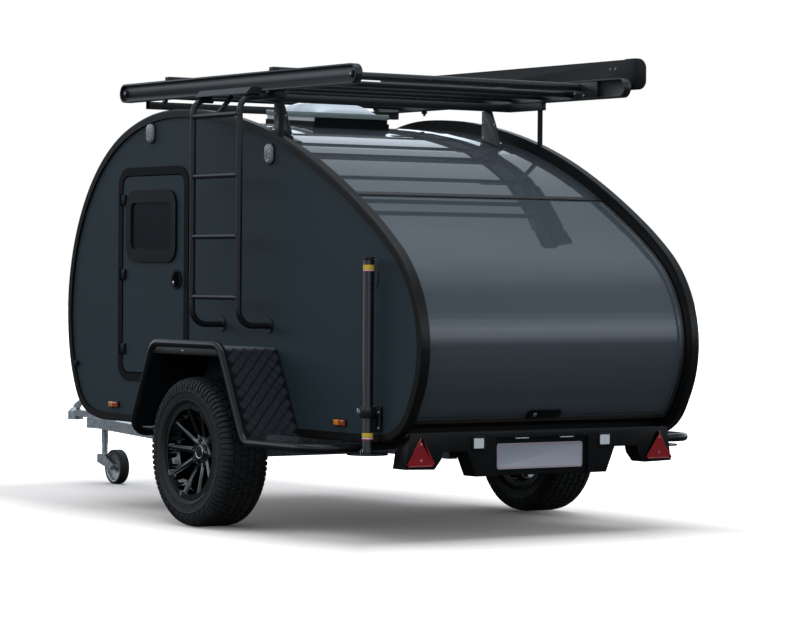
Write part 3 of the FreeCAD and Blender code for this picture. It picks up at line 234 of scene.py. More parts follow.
def cadCopy(node, name, soften=0.0, segments=2, flatAngle=2.0):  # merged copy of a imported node, with soft edges
    piece = copyPiece(nodes[node], name)
    piece.parent = None
    for key in list(piece.keys()):
        del piece[key]
    editSelected(piece, vertRule=lambda v: True)
    bpy.ops.mesh.remove_doubles(threshold=0.00002)
    bpy.ops.mesh.dissolve_limited(angle_limit=math.radians(flatAngle))
    editDone()
    if soften:
        bevelAll(piece, soften, segments)
    return piece


def dressNode(node, name, body, slot, soften=0.0, segments=2, flatAngle=0.5):  # the copy stands in for its node
    return fitPiece(cadCopy(node, name, soften, segments, flatAngle), body, slot, [node], 30)


def fitPiece(piece, body, slot, replaces=(), smooth=35):  # last step of every piece
    smoothByAngle(piece, smooth)
    piece.data.materials.clear()
    piece.data.materials.append(finishes[slot])
    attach(piece, body)
    if replaces:
        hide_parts(*replaces)
    return piece


# Shader groups, each built once

def newGroup(name, inputs, outputs):
    tree = bpy.data.node_groups.new(name, "ShaderNodeTree")
    for label, kind, value in inputs:
        socket = tree.interface.new_socket(label, in_out="INPUT", socket_type="NodeSocket" + kind)
        socket.default_value = value
    for label, kind in outputs:
        tree.interface.new_socket(label, in_out="OUTPUT", socket_type="NodeSocket" + kind)
    return tree, tree.nodes.new("NodeGroupInput"), tree.nodes.new("NodeGroupOutput")


def addTexture(tree, kind, vector, **settings):
    texture = tree.nodes.new("ShaderNodeTex" + kind)
    tree.links.new(vector, texture.inputs["Vector"])
    for label, value in settings.items():
        if isinstance(value, float):
            texture.inputs[label].default_value = value
        else:
            tree.links.new(value, texture.inputs[label])
    return texture


def addNoise(tree, vector, scale, detail=3.0, rough=0.55):
    return addTexture(tree, "Noise", vector, Detail=detail, Roughness=rough, Scale=scale).outputs["Fac"]


def objectSpace(tree):
    return tree.nodes.new("ShaderNodeTexCoord").outputs["Object"]


def splitAxes(tree, vector):
    split = tree.nodes.new("ShaderNodeSeparateXYZ")
    tree.links.new(vector, split.inputs[0])
    return split


def greyOf(tree, level):  # the same level on all three channels
    grey = tree.nodes.new("ShaderNodeCombineColor")
    for socket in grey.inputs:
        tree.links.new(level, socket)
    return grey.outputs[0]


def addTurn(tree, vector, scale=(1.0, 1.0, 1.0), turn=(0.0, 0.0, 0.0)):
    mapping = tree.nodes.new("ShaderNodeMapping")
    mapping.inputs["Scale"].default_value = scale
    mapping.inputs["Rotation"].default_value = turn
    tree.links.new(vector, mapping.inputs["Vector"])
    return mapping.outputs[0]


def addMath(tree, operation, first, second=0.0, clamp=False):
    node = tree.nodes.new("ShaderNodeMath")
    node.operation = operation
    node.use_clamp = clamp
    for socket, value in zip(node.inputs, (first, second)):
        if isinstance(value, (int, float)):
            socket.default_value = value
        else:
            tree.links.new(value, socket)
    return node.outputs[0]


def plus(tree, first, second, clamp=False):
    return addMath(tree, "ADD", first, second, clamp)


def times(tree, first, second, clamp=False):
    return addMath(tree, "MULTIPLY", first, second, clamp)


def addRange(tree, value, fromLow, fromHigh, toLow, toHigh):
    node = tree.nodes.new("ShaderNodeMapRange")
    for label, number in (("Value", value), ("From Min", fromLow), ("From Max", fromHigh),
                          ("To Min", toLow), ("To Max", toHigh)):
        if isinstance(number, (int, float)):
            node.inputs[label].default_value = number
        else:
            tree.links.new(number, node.inputs[label])
    return node.outputs["Result"]


def addMix(tree, factor, first, second, blend="MIX"):
    node = tree.nodes.new("ShaderNodeMix")
    node.data_type = "RGBA"
    node.blend_type = blend
    for socket, value in ((node.inputs[0], factor), (node.inputs[6], first), (node.inputs[7], second)):
        if isinstance(value, (int, float, tuple, list)):
            socket.default_value = value
        else:
            tree.links.new(value, socket)
    return node.outputs[2]


def toneShiftGroup():  # slow colour drift and fine mottling
    tree, ins, outs = newGroup("toneShift", [("Colour", "Color", (0.5, 0.5, 0.5, 1)), ("Amount", "Float", 0.1),
                                             ("Scale", "Float", 2.0)], [("Colour", "Color")])
    where = objectSpace(tree)
    slow = addNoise(tree, where, ins.outputs["Scale"], 2.0)
    fine = addNoise(tree, where, times(tree, ins.outputs["Scale"], 37.0), 4.0)
    both = plus(tree, times(tree, slow, 0.65), times(tree, fine, 0.35))
    swing = times(tree, addMath(tree, "SUBTRACT", both, 0.5), ins.outputs["Amount"])
    shade = plus(tree, 1.0, times(tree, swing, 4.0))
    tinted = addMix(tree, 1.0, ins.outputs["Colour"], greyOf(tree, shade), "MULTIPLY")
    tree.links.new(tinted, outs.inputs["Colour"])
    return tree


def fineGrainGroup():  # orange peel, casting skin or moulded grain, as a height
    tree, ins, outs = newGroup("fineGrain", [("Scale", "Float", 400.0), ("Stretch", "Float", 1.0)],
                               [("Height", "Float")])
    where = objectSpace(tree)
    turn = tree.nodes.new("ShaderNodeVectorMath")
    turn.operation = "MULTIPLY"
    stretch = tree.nodes.new("ShaderNodeCombineXYZ")
    tree.links.new(ins.outputs["Stretch"], stretch.inputs["X"])
    stretch.inputs["Y"].default_value = stretch.inputs["Z"].default_value = 1.0
    tree.links.new(where, turn.inputs[0])
    tree.links.new(stretch.outputs[0], turn.inputs[1])
    coarse = addNoise(tree, turn.outputs[0], ins.outputs["Scale"], 2.0)
    small = addNoise(tree, turn.outputs[0], times(tree, ins.outputs["Scale"], 4.3), 3.0, 0.6)
    tree.links.new(plus(tree, coarse, times(tree, small, 0.45)), outs.inputs["Height"])
    return tree


def roadDustGroup():  # pale film that gathers low down and in patches
    tree, ins, outs = newGroup("roadDust", [("Colour", "Color", (0.1, 0.1, 0.1, 1)), ("Roughness", "Float", 0.5),
                                            ("Amount", "Float", 0.1), ("Top", "Float", 0.9)],
                               [("Colour", "Color"), ("Roughness", "Float")])
    where = objectSpace(tree)
    low = addRange(tree, splitAxes(tree, where).outputs["Z"], 0.0, ins.outputs["Top"], 1.0, 0.0)
    patch = addRange(tree, addNoise(tree, where, 9.0, 6.0, 0.65), 0.38, 0.72, 0.15, 1.0)
    mask = times(tree, times(tree, low, patch), ins.outputs["Amount"], clamp=True)
    tree.links.new(addMix(tree, mask, ins.outputs["Colour"], (0.2, 0.18, 0.155, 1)), outs.inputs["Colour"])
    rough = plus(tree, ins.outputs["Roughness"], times(tree, mask, 0.5), clamp=True)
    tree.links.new(rough, outs.inputs["Roughness"])
    return tree


def rubbedEdgeGroup():  # coating rubbed thin along edges
    tree, ins, outs = newGroup("rubbedEdge", [("Colour", "Color", (0.1, 0.1, 0.1, 1)),
                                              ("Bare", "Color", (0.4, 0.4, 0.4, 1)), ("Amount", "Float", 0.3)],
                               [("Colour", "Color")])
    where = objectSpace(tree)
    ridge = addRange(tree, tree.nodes.new("ShaderNodeNewGeometry").outputs["Pointiness"], 0.52, 0.6, 0.0, 1.0)
    broken = addRange(tree, addNoise(tree, where, 55.0, 5.0, 0.7), 0.42, 0.62, 0.0, 1.0)
    mask = times(tree, times(tree, ridge, broken), ins.outputs["Amount"], clamp=True)
    tree.links.new(addMix(tree, mask, ins.outputs["Colour"], ins.outputs["Bare"]), outs.inputs["Colour"])
    return tree


def handlingGroup():  # wiping marks and hairline scratches, as a change of roughness
    tree, ins, outs = newGroup("handlingMarks", [("Roughness", "Float", 0.3), ("Amount", "Float", 0.1)],
                               [("Roughness", "Float")])
    where = objectSpace(tree)
    smear = addNoise(tree, where, 3.5, 5.0, 0.6)
    hair = addNoise(tree, addTurn(tree, where, (1.0, 1.0, 14.0), (0.5, 0.35, 0.2)), 24.0, 6.0, 0.75)
    both = plus(tree, times(tree, smear, 0.7), times(tree, hair, 0.5))
    swing = times(tree, addMath(tree, "SUBTRACT", both, 0.6), ins.outputs["Amount"])
    tree.links.new(plus(tree, ins.outputs["Roughness"], swing, clamp=True), outs.inputs["Roughness"])
    return tree


toneShift = toneShiftGroup()
fineGrain = fineGrainGroup()
roadDust = roadDustGroup()
rubbedEdge = rubbedEdgeGroup()
handlingMarks = handlingGroup()


# Finishes

def placeGroup(tree, group, **values):
    node = tree.nodes.new("ShaderNodeGroup")
    node.node_tree = group
    for label, value in values.items():
        socket = node.inputs[label[0].upper() + label[1:]]
        if isinstance(value, bpy.types.NodeSocket):
            tree.links.new(value, socket)
        else:
            socket.default_value = value
    return node


def solid(colour):
    return (*colour, 1.0)


plainLook = dict(drift=0.08, driftScale=2.2, rubbed=0.0, bare=(0.3, 0.3, 0.31), marks=0.12, dust=0.12, dustTop=0.95,
                 grain=0.12, grainScale=420.0, grainDepth=0.0004, stretch=1.0, metallic=0.0, coat=0.0,
                 coatRoughness=0.05, coatIor=1.5, specular=0.5)


def newFinish(name, look):  # a coated or moulded surface from one dictionary
    look = {**plainLook, **look}
    material = bpy.data.materials.new(name)
    material.use_nodes = True
    tree = material.node_tree
    shader = tree.nodes["Principled BSDF"]
    tone = placeGroup(tree, toneShift, colour=solid(look["colour"]), amount=look["drift"],
                      scale=look["driftScale"])
    colour = tone.outputs["Colour"]
    if look["rubbed"]:
        rub = placeGroup(tree, rubbedEdge, colour=colour, bare=solid(look["bare"]),
                         amount=look["rubbed"])
        colour = rub.outputs["Colour"]
    marks = placeGroup(tree, handlingMarks, roughness=look["roughness"], amount=look["marks"])
    rough = marks.outputs["Roughness"]
    dust = placeGroup(tree, roadDust, colour=colour, roughness=rough, amount=look["dust"],
                      top=look["dustTop"])
    tree.links.new(dust.outputs["Colour"], shader.inputs["Base Color"])
    tree.links.new(dust.outputs["Roughness"], shader.inputs["Roughness"])
    grain = placeGroup(tree, fineGrain, scale=look["grainScale"], stretch=look["stretch"])
    bump = tree.nodes.new("ShaderNodeBump")
    bump.inputs["Strength"].default_value = look["grain"]
    bump.inputs["Distance"].default_value = look["grainDepth"]
    tree.links.new(grain.outputs["Height"], bump.inputs["Height"])
    tree.links.new(bump.outputs["Normal"], shader.inputs["Normal"])
    for label, key in (("Metallic", "metallic"), ("Coat Weight", "coat"), ("Coat Roughness", "coatRoughness"),
                       ("Coat IOR", "coatIor"), ("Specular IOR Level", "specular")):
        shader.inputs[label].default_value = look[key]
    return material


glossCoat = dict(roughness=0.42, specular=0.0, coat=1.0, coatRoughness=0.02, drift=0.05, grain=0.04,
                 grainScale=900.0, dust=0.0, marks=0.05)
finishLooks = {
    "bodyPaint": dict(colour=(0.0240, 0.0365, 0.0425), roughness=0.5, specular=0.12, drift=0.03, grain=0.05,
                      grainScale=260.0, dust=0.02, marks=0.08),
    "hatchPaint": dict(glossCoat, colour=(0.054, 0.063, 0.071), metallic=0.08),
    # the roof's copy of the hatch paint, lighter and more reflective: painted sheen where the roof faces the sky
    "roofSheenPaint": dict(glossCoat, colour=(0.060, 0.071, 0.080), metallic=0.35, coatIor=1.9),
    "blackTrim": dict(colour=(0.0040, 0.0042, 0.0044), roughness=0.36, specular=0.14, drift=0.12, grain=0.25,
                      grainScale=900.0, dust=0.03),
    "blackRubber": dict(colour=(0.0025, 0.0027, 0.0030), roughness=0.5, specular=0.07, drift=0.15, grain=0.35,
                        grainScale=700.0, dust=0.01),
    "blackSteel": dict(colour=(0.0045, 0.005, 0.0056), roughness=0.3, specular=0.25, drift=0.10, grain=0.22,
                       grainScale=620.0, rubbed=0.04, dust=0.02, coat=0.1),
    "blackAluminium": dict(colour=(0.006, 0.0068, 0.0075), roughness=0.38, specular=0.4,
                           grainScale=520.0, stretch=0.1, rubbed=0.05, dust=0.02),
    "brightAluminium": dict(colour=(0.62, 0.64, 0.66), roughness=0.28, metallic=1.0, grain=0.15,
                            grainScale=500.0, stretch=0.05, dust=0.06),
    "zincScrew": dict(colour=(0.55, 0.56, 0.57), roughness=0.3, metallic=1.0, drift=0.2, grain=0.2, dust=0.05),
    "chequerPlate": dict(colour=(0.0060, 0.0075, 0.0090), roughness=0.38, specular=0.12, grain=0.2,
                         grainScale=500.0, dust=0.02, coat=0.1),
    "wheelAlloy": dict(colour=(0.0012, 0.0013, 0.0014), roughness=0.12, specular=0.45, drift=0.1, grain=0.01,
                       coat=0.6, coatRoughness=0.03, dust=0.0),
    "whitePlastic": dict(colour=(0.88, 0.88, 0.86), roughness=0.42, drift=0.05, grain=0.15, dust=0.05),
    "plateWhite": dict(colour=(0.30, 0.305, 0.345), roughness=0.35, drift=0.04, grain=0.1, grainScale=1500.0,
                       dust=0.10, dustTop=0.6),
    "plateBorder": dict(colour=(0.45, 0.16, 0.16), roughness=0.4, drift=0.1, grain=0.1, dust=0.08),
    "yellowTape": dict(colour=(0.72, 0.45, 0.03), roughness=0.4, drift=0.12, grain=0.1, dust=0.05),
    "whiteTape": dict(colour=(0.75, 0.75, 0.73), roughness=0.4, grain=0.1, dust=0.05),
    "redTape": dict(colour=(0.55, 0.03, 0.02), roughness=0.4, drift=0.1, grain=0.1, dust=0.05),
    "trimRubber": dict(colour=(0.0048, 0.0041, 0.0037), roughness=0.42, specular=0.1, coat=0.22, coatRoughness=0.20,
                       drift=0.12, grain=0.2, grainScale=900.0, dust=0.02),
    "hatchRail": dict(colour=(0.0250, 0.0270, 0.0270), roughness=0.5, specular=0.3, drift=0.1, grain=0.2, dust=0.02),
    # the raised bars: the chequer plate's colour made far lighter, a painted highlight along each bar
    "highlightChequerBar": dict(colour=(0.105, 0.112, 0.125), roughness=0.32, specular=0.8, drift=0.15, grain=0.15, dust=0.0),
}


def coverBase(material, factor, colour, blend="MIX"):  # lays a colour over what feeds the base colour
    tree = material.node_tree
    base = tree.nodes["Principled BSDF"].inputs["Base Color"]
    tree.links.new(addMix(tree, factor, base.links[0].from_socket, colour, blend), base)


def setBump(material, height, strength, distance):
    bump = material.node_tree.nodes["Bump"]
    bump.inputs["Strength"].default_value = strength
    bump.inputs["Distance"].default_value = distance
    material.node_tree.links.new(height, bump.inputs["Height"])


def galvanisedFinish():  # zinc with its spangle
    material = newFinish("galvanised", dict(colour=(0.42, 0.44, 0.45), roughness=0.38, metallic=0.85, drift=0.1,
                                            grain=0.15, grainScale=300.0, dust=0.25, dustTop=0.7))
    tree = material.node_tree
    rough = tree.nodes["Principled BSDF"].inputs["Roughness"]
    spangle = addTexture(tree, "Voronoi", objectSpace(tree), Scale=70.0)
    grey = tree.nodes.new("ShaderNodeSeparateColor")
    tree.links.new(spangle.outputs["Color"], grey.inputs[0])
    coverBase(material, 1.0, greyOf(tree, addRange(tree, grey.outputs[0], 0.0, 1.0, 0.72, 1.15)), "MULTIPLY")
    shift = addRange(tree, grey.outputs[1], 0.0, 1.0, -0.08, 0.12)
    tree.links.new(plus(tree, rough.links[0].from_socket, shift), rough)
    return material


def tyreFinish():  # rubber with dust in its grooves and a brownish bloom on the side walls
    return newFinish("tyreRubber", dict(colour=(0.010, 0.0102, 0.0104), roughness=0.6, specular=0.3, drift=0.2,
                                        driftScale=9.0, grain=0.45, grainScale=650.0, dust=0.08, dustTop=0.5,
                                        rubbed=0.06, bare=(0.04, 0.038, 0.036)))


def birchFinish():  # birch plywood: long grain on its faces
    material = newFinish("birchPly", dict(colour=(0.60, 0.43, 0.26), roughness=0.5, drift=0.12, grain=0.1,
                                          grainScale=200.0, dust=0.0, coat=0.1))
    tree = material.node_tree
    wave = addTexture(tree, "Wave", addTurn(tree, objectSpace(tree), (1.0, 0.08, 1.0)), Scale=9.0, Distortion=5.0,
                      Detail=3.0)
    coverBase(material, addRange(tree, wave.outputs["Fac"], 0.0, 1.0, 0.0, 0.35), solid((0.38, 0.24, 0.13)))
    return material


def clothFinish():  # woven mattress cover
    material = newFinish("mattressCloth", dict(colour=(0.27, 0.28, 0.30), roughness=0.85, drift=0.12,
                                               driftScale=5.0, grain=0.2, grainScale=900.0, dust=0.0))
    tree = material.node_tree
    tree.nodes["Principled BSDF"].inputs["Sheen Weight"].default_value = 0.25
    threads = []
    for angle in (0.0, math.pi / 2):
        where = addTurn(tree, objectSpace(tree), turn=(0.0, 0.0, angle))
        threads.append(addTexture(tree, "Wave", where, Scale=120.0, Distortion=0.4).outputs["Fac"])
    height = addMath(tree, "MAXIMUM", *threads)
    # darker where the threads lie low: painted shade between the threads
    coverBase(material, addRange(tree, height, 0.3, 1.0, 0.35, 0.0), solid((0.14, 0.145, 0.16)))
    setBump(material, height, 0.4, 0.0008)
    return material


def lensFinish(name, colour, roughness=0.08, cell=0.0, depth=0.0):  # coloured lamp plastic with moulded prisms
    material = newFinish(name, dict(colour=colour, roughness=roughness, drift=0.1, driftScale=20.0, grain=0.05,
                                    coat=1.0, coatRoughness=0.03, dust=0.06, dustTop=0.6, marks=0.04))
    if cell:
        tree = material.node_tree
        where = addTurn(tree, objectSpace(tree), (0.02, 1.0, 1.0), (math.pi / 4, 0.0, 0.0))
        prism = addTexture(tree, "Voronoi", where, Scale=1 / cell, Randomness=0.0)
        prism.distance = "CHEBYCHEV"
        setBump(material, prism.outputs["Distance"], 0.8, depth)
        coverBase(material, addRange(tree, prism.outputs["Distance"], 0.3, 0.5, 0.0, 0.8),
                  solid([channel * 0.45 for channel in colour]))
    return material


def clearFinish(name, colour, roughness, transmission, ior=1.49):  # acrylic sheet
    material = newFinish(name, dict(colour=colour, roughness=roughness, drift=0.03, grain=0.02, dust=0.0, marks=0.03))
    shader = material.node_tree.nodes["Principled BSDF"]
    shader.inputs["Transmission Weight"].default_value = transmission
    shader.inputs["IOR"].default_value = ior
    return material


finishes = {name: newFinish(name, look) for name, look in finishLooks.items()}
finishes.update({
    "galvanised": galvanisedFinish(), "tyreRubber": tyreFinish(), "birchPly": birchFinish(),
    "mattressCloth": clothFinish(),
    "clearPlastic": clearFinish("clearPlastic", (0.42, 0.50, 0.47), 0.10, 0.45),
    # the dome's pale colour is a painted reflection of the sky on tinted clear acrylic
    "skyReflectionPlastic": clearFinish("skyReflectionPlastic", (0.84, 0.87, 0.92), 0.10, 0.20),
    "windowAcrylic": clearFinish("windowAcrylic", (0.02, 0.024, 0.027), 0.05, 0.25),
    "redLamp": lensFinish("redLamp", (0.30, 0.004, 0.008), cell=0.009, depth=0.0008),
    "amberLamp": lensFinish("amberLamp", (1.0, 0.33, 0.03), cell=0.006, depth=0.0006),
    "whiteLamp": lensFinish("whiteLamp", (0.80, 0.82, 0.82), cell=0.012, depth=0.001),
    "redEdge": lensFinish("redEdge", (0.38, 0.06, 0.06), roughness=0.3),
    "amberDark": lensFinish("amberDark", (0.42, 0.07, 0.008), cell=0.006, depth=0.0006),
    "lampGlass": clearFinish("lampGlass", (0.92, 0.94, 0.95), 0.08, 0.75),
})


wallSkin = dict(inner=0.8030, outer=0.8036)  # distance from the middle where the paint starts


def wallFinish():  # body paint on the outer faces; the cut edges and inner faces are black
    material = newFinish("wallPaint", finishLooks["bodyPaint"])
    tree = material.node_tree
    base = tree.nodes["Principled BSDF"].inputs["Base Color"]
    across = addMath(tree, "ABSOLUTE", splitAxes(tree, objectSpace(tree)).outputs["Y"])
    outside = addRange(tree, across, wallSkin["inner"], wallSkin["outer"], 0.0, 1.0)
    innerBlack = solid(finishLooks["blackRubber"]["colour"])
    tree.links.new(addMix(tree, outside, innerBlack, base.links[0].from_socket), base)
    return material


finishes["wallPaint"] = wallFinish()

# finishes that share each slot of the record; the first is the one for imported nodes
slotFinishes = {
    "body_paint": ["bodyPaint", "wallPaint"], "hatch_paint": ["hatchPaint", "roofSheenPaint"],
    "black_trim": ["blackTrim", "blackRubber", "trimRubber", "hatchRail"], "black_steel": ["blackSteel"],
    "black_aluminium": ["blackAluminium"], "bright_aluminium": ["brightAluminium"],
    "galvanised": ["galvanised", "zincScrew"], "chequer_plate": ["chequerPlate", "highlightChequerBar"],
    "wheel_alloy": ["wheelAlloy"], "white_plastic": ["whitePlastic"],
    "plate_white": ["plateWhite", "plateBorder", "yellowTape", "whiteTape", "redTape"],
    "tyre_rubber": ["tyreRubber"], "birch_ply": ["birchPly"], "mattress_cloth": ["mattressCloth"],
    "clear_plastic": ["clearPlastic", "skyReflectionPlastic"], "window_acrylic": ["windowAcrylic"],
    "red_lamp": ["redLamp", "redEdge"], "amber_lamp": ["amberLamp", "amberDark"],
    "white_lamp": ["whiteLamp", "lampGlass"],
}


def finishNodes():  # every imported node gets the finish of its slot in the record
    for part in frame["record"]["subparts"]:
        node = nodes[part["node"]]
        node.data.materials.clear()
        node.data.materials.append(finishes[slotFinishes[part["material_slot"]][0]])
    for node in ("door_frame_left", "door_frame_right", "tail_sill"):
        nodes[node].data.materials[0] = finishes["blackRubber"]
    for side in sides:
        nodes["edge_trim_" + side].data.materials[0] = finishes["trimRubber"]
        nodes["side_wall_" + side].data.materials[0] = finishes["wallPaint"]
    nodes["roof_panel"].data.materials[0] = finishes["roofSheenPaint"]
    nodes["rooflight_curb"].data.materials[0] = finishes["blackTrim"]


finishNodes()
print("finishes made:", len(finishes))


# Outlines that are placed corner by corner and then extruded

def addPlate(name, corners, lift):
    deselectAll()
    bpy.ops.mesh.primitive_circle_add(vertices=len(corners), radius=1, fill_type="NGON")
    piece = newPiece(name)
    for vertex, corner in zip(piece.data.vertices, corners):
        vertex.co = corner
    editSelected(piece, faceRule=lambda f: True)
    bpy.ops.mesh.extrude_region_move(TRANSFORM_OT_translate={"value": lift})
    bpy.ops.mesh.select_all(action="SELECT")
    bpy.ops.mesh.normals_make_consistent(inside=False)
    editDone()
    return piece


def addTurned(name, section, centre, axis, steps=64):  # closed section, spun round an axis
    deselectAll()
    bpy.ops.mesh.primitive_circle_add(vertices=len(section), radius=1, fill_type="NOTHING")
    piece = newPiece(name)
    side = Vector(axis).orthogonal().normalized()
    for vertex, (radius, along) in zip(piece.data.vertices, section):
        vertex.co = Vector(centre) + side * radius + Vector(axis) * along
    editSelected(piece, vertRule=lambda v: True)
    bpy.ops.mesh.spin(steps=steps, angle=2 * math.pi, center=centre, axis=axis)
    editDone()
    rightWayOut(piece)
    return piece


def bisectAt(piece, point, normal):
    editSelected(piece, vertRule=lambda v: True)
    bpy.ops.mesh.bisect(plane_co=point, plane_no=normal)
    editDone()


def moveVertices(piece, place):  # place gives a new position for each old one
    for vertex in piece.data.vertices:
        vertex.co = place(vertex.co)


def stepsBetween(table, value):  # straight lines between the pairs of a short table
    for (a, low), (b, high) in zip(table, table[1:]):
        if value <= b:
            return low + (high - low) * (value - a) / (b - a)
    return table[-1][1]


# Small parts used all over

def nodeBox(node):
    low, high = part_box(node)
    return Vector(low), Vector(high)


def paintFaces(piece, finish, rule):  # a second finish on some faces
    piece.data.materials.append(finishes[finish])
    for face in piece.data.polygons:
        if rule(face):
            face.material_index = len(piece.data.materials) - 1


def pastFace(place, axis, height):  # rule for the edges of a head's outer face
    return lambda edge: all((v.co - place).dot(axis) > height for v in edge.verts)


def addScrew(place, axis, radius=0.0045, height=0.003, sides=16):  # domed head with a socket
    place, axis = Vector(place), Vector(axis).normalized()
    head = addRod("screw", place - axis * 0.001, place + axis * height, radius, sides)
    bevelPicked(head, pastFace(place, axis, height * 0.9), height * 0.35, 2)
    insetFaces(head, lambda f: len(f.verts) == sides and f.normal.dot(axis) > 0.9, [radius * 0.35],
               -axis * height * 0.5)
    return head


def addHexBolt(place, axis, radius=0.0085, height=0.006):
    place, axis = Vector(place), Vector(axis).normalized()
    washer = addRod("washer", place - axis * 0.001, place + axis * height * 0.25, radius * 1.35, 20)
    head = addRod("boltHead", place, place + axis * height, radius, 6)
    bevelPicked(head, pastFace(place, axis, height * 0.9), height * 0.15, 1)
    return joinPieces("hexBolt", [washer, head])


def bothSides(piece, name, slot, bodies=("trailer", "trailer"), smooth=35):  # the left piece and its mirror image
    twin = mirrorPiece(piece, name + "Right")
    piece.name = piece.data.name = name + "Left"
    return [fitPiece(part, body, slot, smooth=smooth) for part, body in zip((piece, twin), bodies)]


def stadiumCorners(centre, radius, half, x=0, z=2, steps=14):  # upright oval in the xz plane
    corners = []
    for lift, start in ((half, 0.0), (-half, math.pi)):
        for i in range(steps + 1):
            angle = start + math.pi * i / steps
            corner = list(centre)
            corner[x] += radius * math.cos(angle)
            corner[z] += lift + radius * math.sin(angle)
            corners.append(tuple(corner))
    return corners


# Wheels

wheel = dict(axleX=-0.848, track=2.003, radius=0.366, pitches=40, grooveDepth=0.0105,
             crown=[(0.0, 0.3647), (0.075, 0.3642), (0.100, 0.3598), (0.112, 0.3545), (0.120, 0.346),
                    (0.1262, 0.328), (0.1292, 0.312)],
             section=[(0.2163, 0.0987), (0.236, 0.0987), (0.2365, 0.112), (0.247, 0.1195), (0.252, 0.1262),
                      (0.256, 0.1262), (0.258, 0.1240), (0.274, 0.1252), (0.291, 0.1268), (0.293, 0.1290),
                      (0.2965, 0.1298), (0.299, 0.1272), (0.301, 0.1262), (0.318, 0.1240), (0.334, 0.1175),
                      (0.344, 0.107), (0.3495, 0.094), (0.3535, 0.072), (0.354, 0.0)])
wheelMiddle = Vector((wheel["axleX"], wheel["track"] / 2, wheel["radius"]))


onWheels = ("wheel_left", "wheel_right")


def ontoTread(co):  # co holds distance round the tyre, distance across it, and height over the crown
    turn = co.x / wheel["radius"]
    radius = stepsBetween(wheel["crown"], abs(co.y)) + co.z
    return wheelMiddle + Vector((radius * math.sin(turn), co.y, radius * math.cos(turn)))


def treadSector():  # the blocks of one pitch on the outer half, cut by their sipes
    pitch = 2 * math.pi * wheel["radius"] / wheel["pitches"]
    depth = wheel["grooveDepth"]
    outlines = [  # share of the pitch, mm across: centre blocks, inner blocks and shoulder lugs, each in two halves
        [(0.03, 2), (0.43, 5), (0.43, 34), (0.30, 37), (0.03, 31)],
        [(0.455, 5.5), (0.86, 2), (0.90, 22), (0.78, 36), (0.455, 34)],
        [(0.34, 43), (0.70, 40), (0.76, 60), (0.70, 75), (0.34, 73)],
        [(0.725, 40.5), (1.16, 43), (1.20, 66), (1.10, 75), (0.735, 74)],
        [(0.06, 82), (0.44, 80), (0.47, 104), (0.42, 129.0), (0.14, 129.0), (0.08, 104)],
        [(0.56, 80), (0.94, 82), (0.97, 104), (0.90, 126.6), (0.64, 126.6), (0.58, 104)],
    ]
    blocks = []
    for outline in outlines:
        corners = [(share * pitch, across / 1000, -depth) for share, across in outline]
        block = addPlate("treadBlock", corners, (0, 0, depth))
        bevelPicked(block, above("z", -depth / 2), 0.0012, 1)
        for across in (0.100, 0.112, 0.120):
            if min(c[1] for c in corners) < across < max(c[1] for c in corners):
                bisectAt(block, (0, across, 0), (0, 1, 0))
        blocks.append(block)
    return joinPieces("treadSector", blocks)


def sideRibs():  # short radial ribs on the side wall, one pitch
    ribs = []
    heights = ((0.302, 0.320), (0.264, 0.268), (0.302, 0.316), (0.264, 0.270), (0.302, 0.319))
    for k, (low, high) in enumerate(heights):
        turn = (k + 0.5) / len(heights) * 2 * math.pi / wheel["pitches"]
        rib = addBlock("sideRib", (-0.0024, 0.118, low), (0.0024, 0.1283, high))
        bevelPicked(rib, above("y", 0.125), 0.001, 1)
        rib.data.transform(Matrix.Translation(wheelMiddle) @ Matrix.Rotation(turn, 4, "Y"))
        ribs.append(rib)
    return joinPieces("sideRibs", ribs)


def makeTyre():
    section = wheel["section"]
    inside = [(0.341, 0.085), (0.321, 0.116), (0.268, 0.116), (0.2163, 0.085)]
    ring = section + [(r, -w) for r, w in reversed(section[:-1])] + [(r, -w) for r, w in reversed(inside)] + inside
    carcass = addTurned("carcass", ring, wheelMiddle, (0, 1, 0), 96)
    sector = treadSector()
    pitch = 2 * math.pi * wheel["radius"] / wheel["pitches"]
    inner = copyPiece(sector, "innerSector")
    moveVertices(inner, lambda co: ontoTread(Vector((0.5 * pitch - co.x, -co.y, co.z))))
    moveVertices(sector, ontoTread)
    ribs = sideRibs()
    parts = [carcass]
    for i in range(wheel["pitches"]):
        turn = turnAbout(wheelMiddle, "Y", 360 / wheel["pitches"] * i)
        parts += [copyPiece(part, "pitch", turn) for part in (sector, inner, ribs)]
    for part in (sector, inner, ribs):
        bpy.data.objects.remove(part)
    tyre = joinPieces("tyreLeftTread", parts)
    right = mirrorPiece(tyre, "tyreRightTread")
    fitPiece(tyre, "wheel_left", "tyreRubber", ["tyre_left"], 28)
    fitPiece(right, "wheel_right", "tyreRubber", ["tyre_right"], 28)


def makeWheelFittings():  # lug nuts and cap ring on the deep hub
    face = wheelMiddle.y + 0.050
    nuts = []
    for i in range(5):
        nut = addRod("lugNut", (wheelMiddle.x, face - 0.014, wheelMiddle.z + 0.056),
                     (wheelMiddle.x, face + 0.006, wheelMiddle.z + 0.056), 0.0095, 6, 0.0085)
        bevelPicked(nut, above("y", face), 0.0015, 2)
        nut.data.transform(turnAbout(wheelMiddle, "Y", 72 * i))
        nuts.append(nut)
    ring = addTurned("capRing", [(0.030, face + 0.0035), (0.034, face + 0.0035), (0.0345, face + 0.0065),
                                 (0.032, face + 0.0085), (0.0295, face + 0.0075)],
                     (wheelMiddle.x, 0, wheelMiddle.z), (0, 1, 0), 48)
    bothSides(joinPieces("nuts", nuts), "wheelNuts", "blackSteel", onWheels)
    bothSides(ring, "capRing", "zincScrew", onWheels)


valve = dict(angle=122, foot=0.205, tip=0.198)


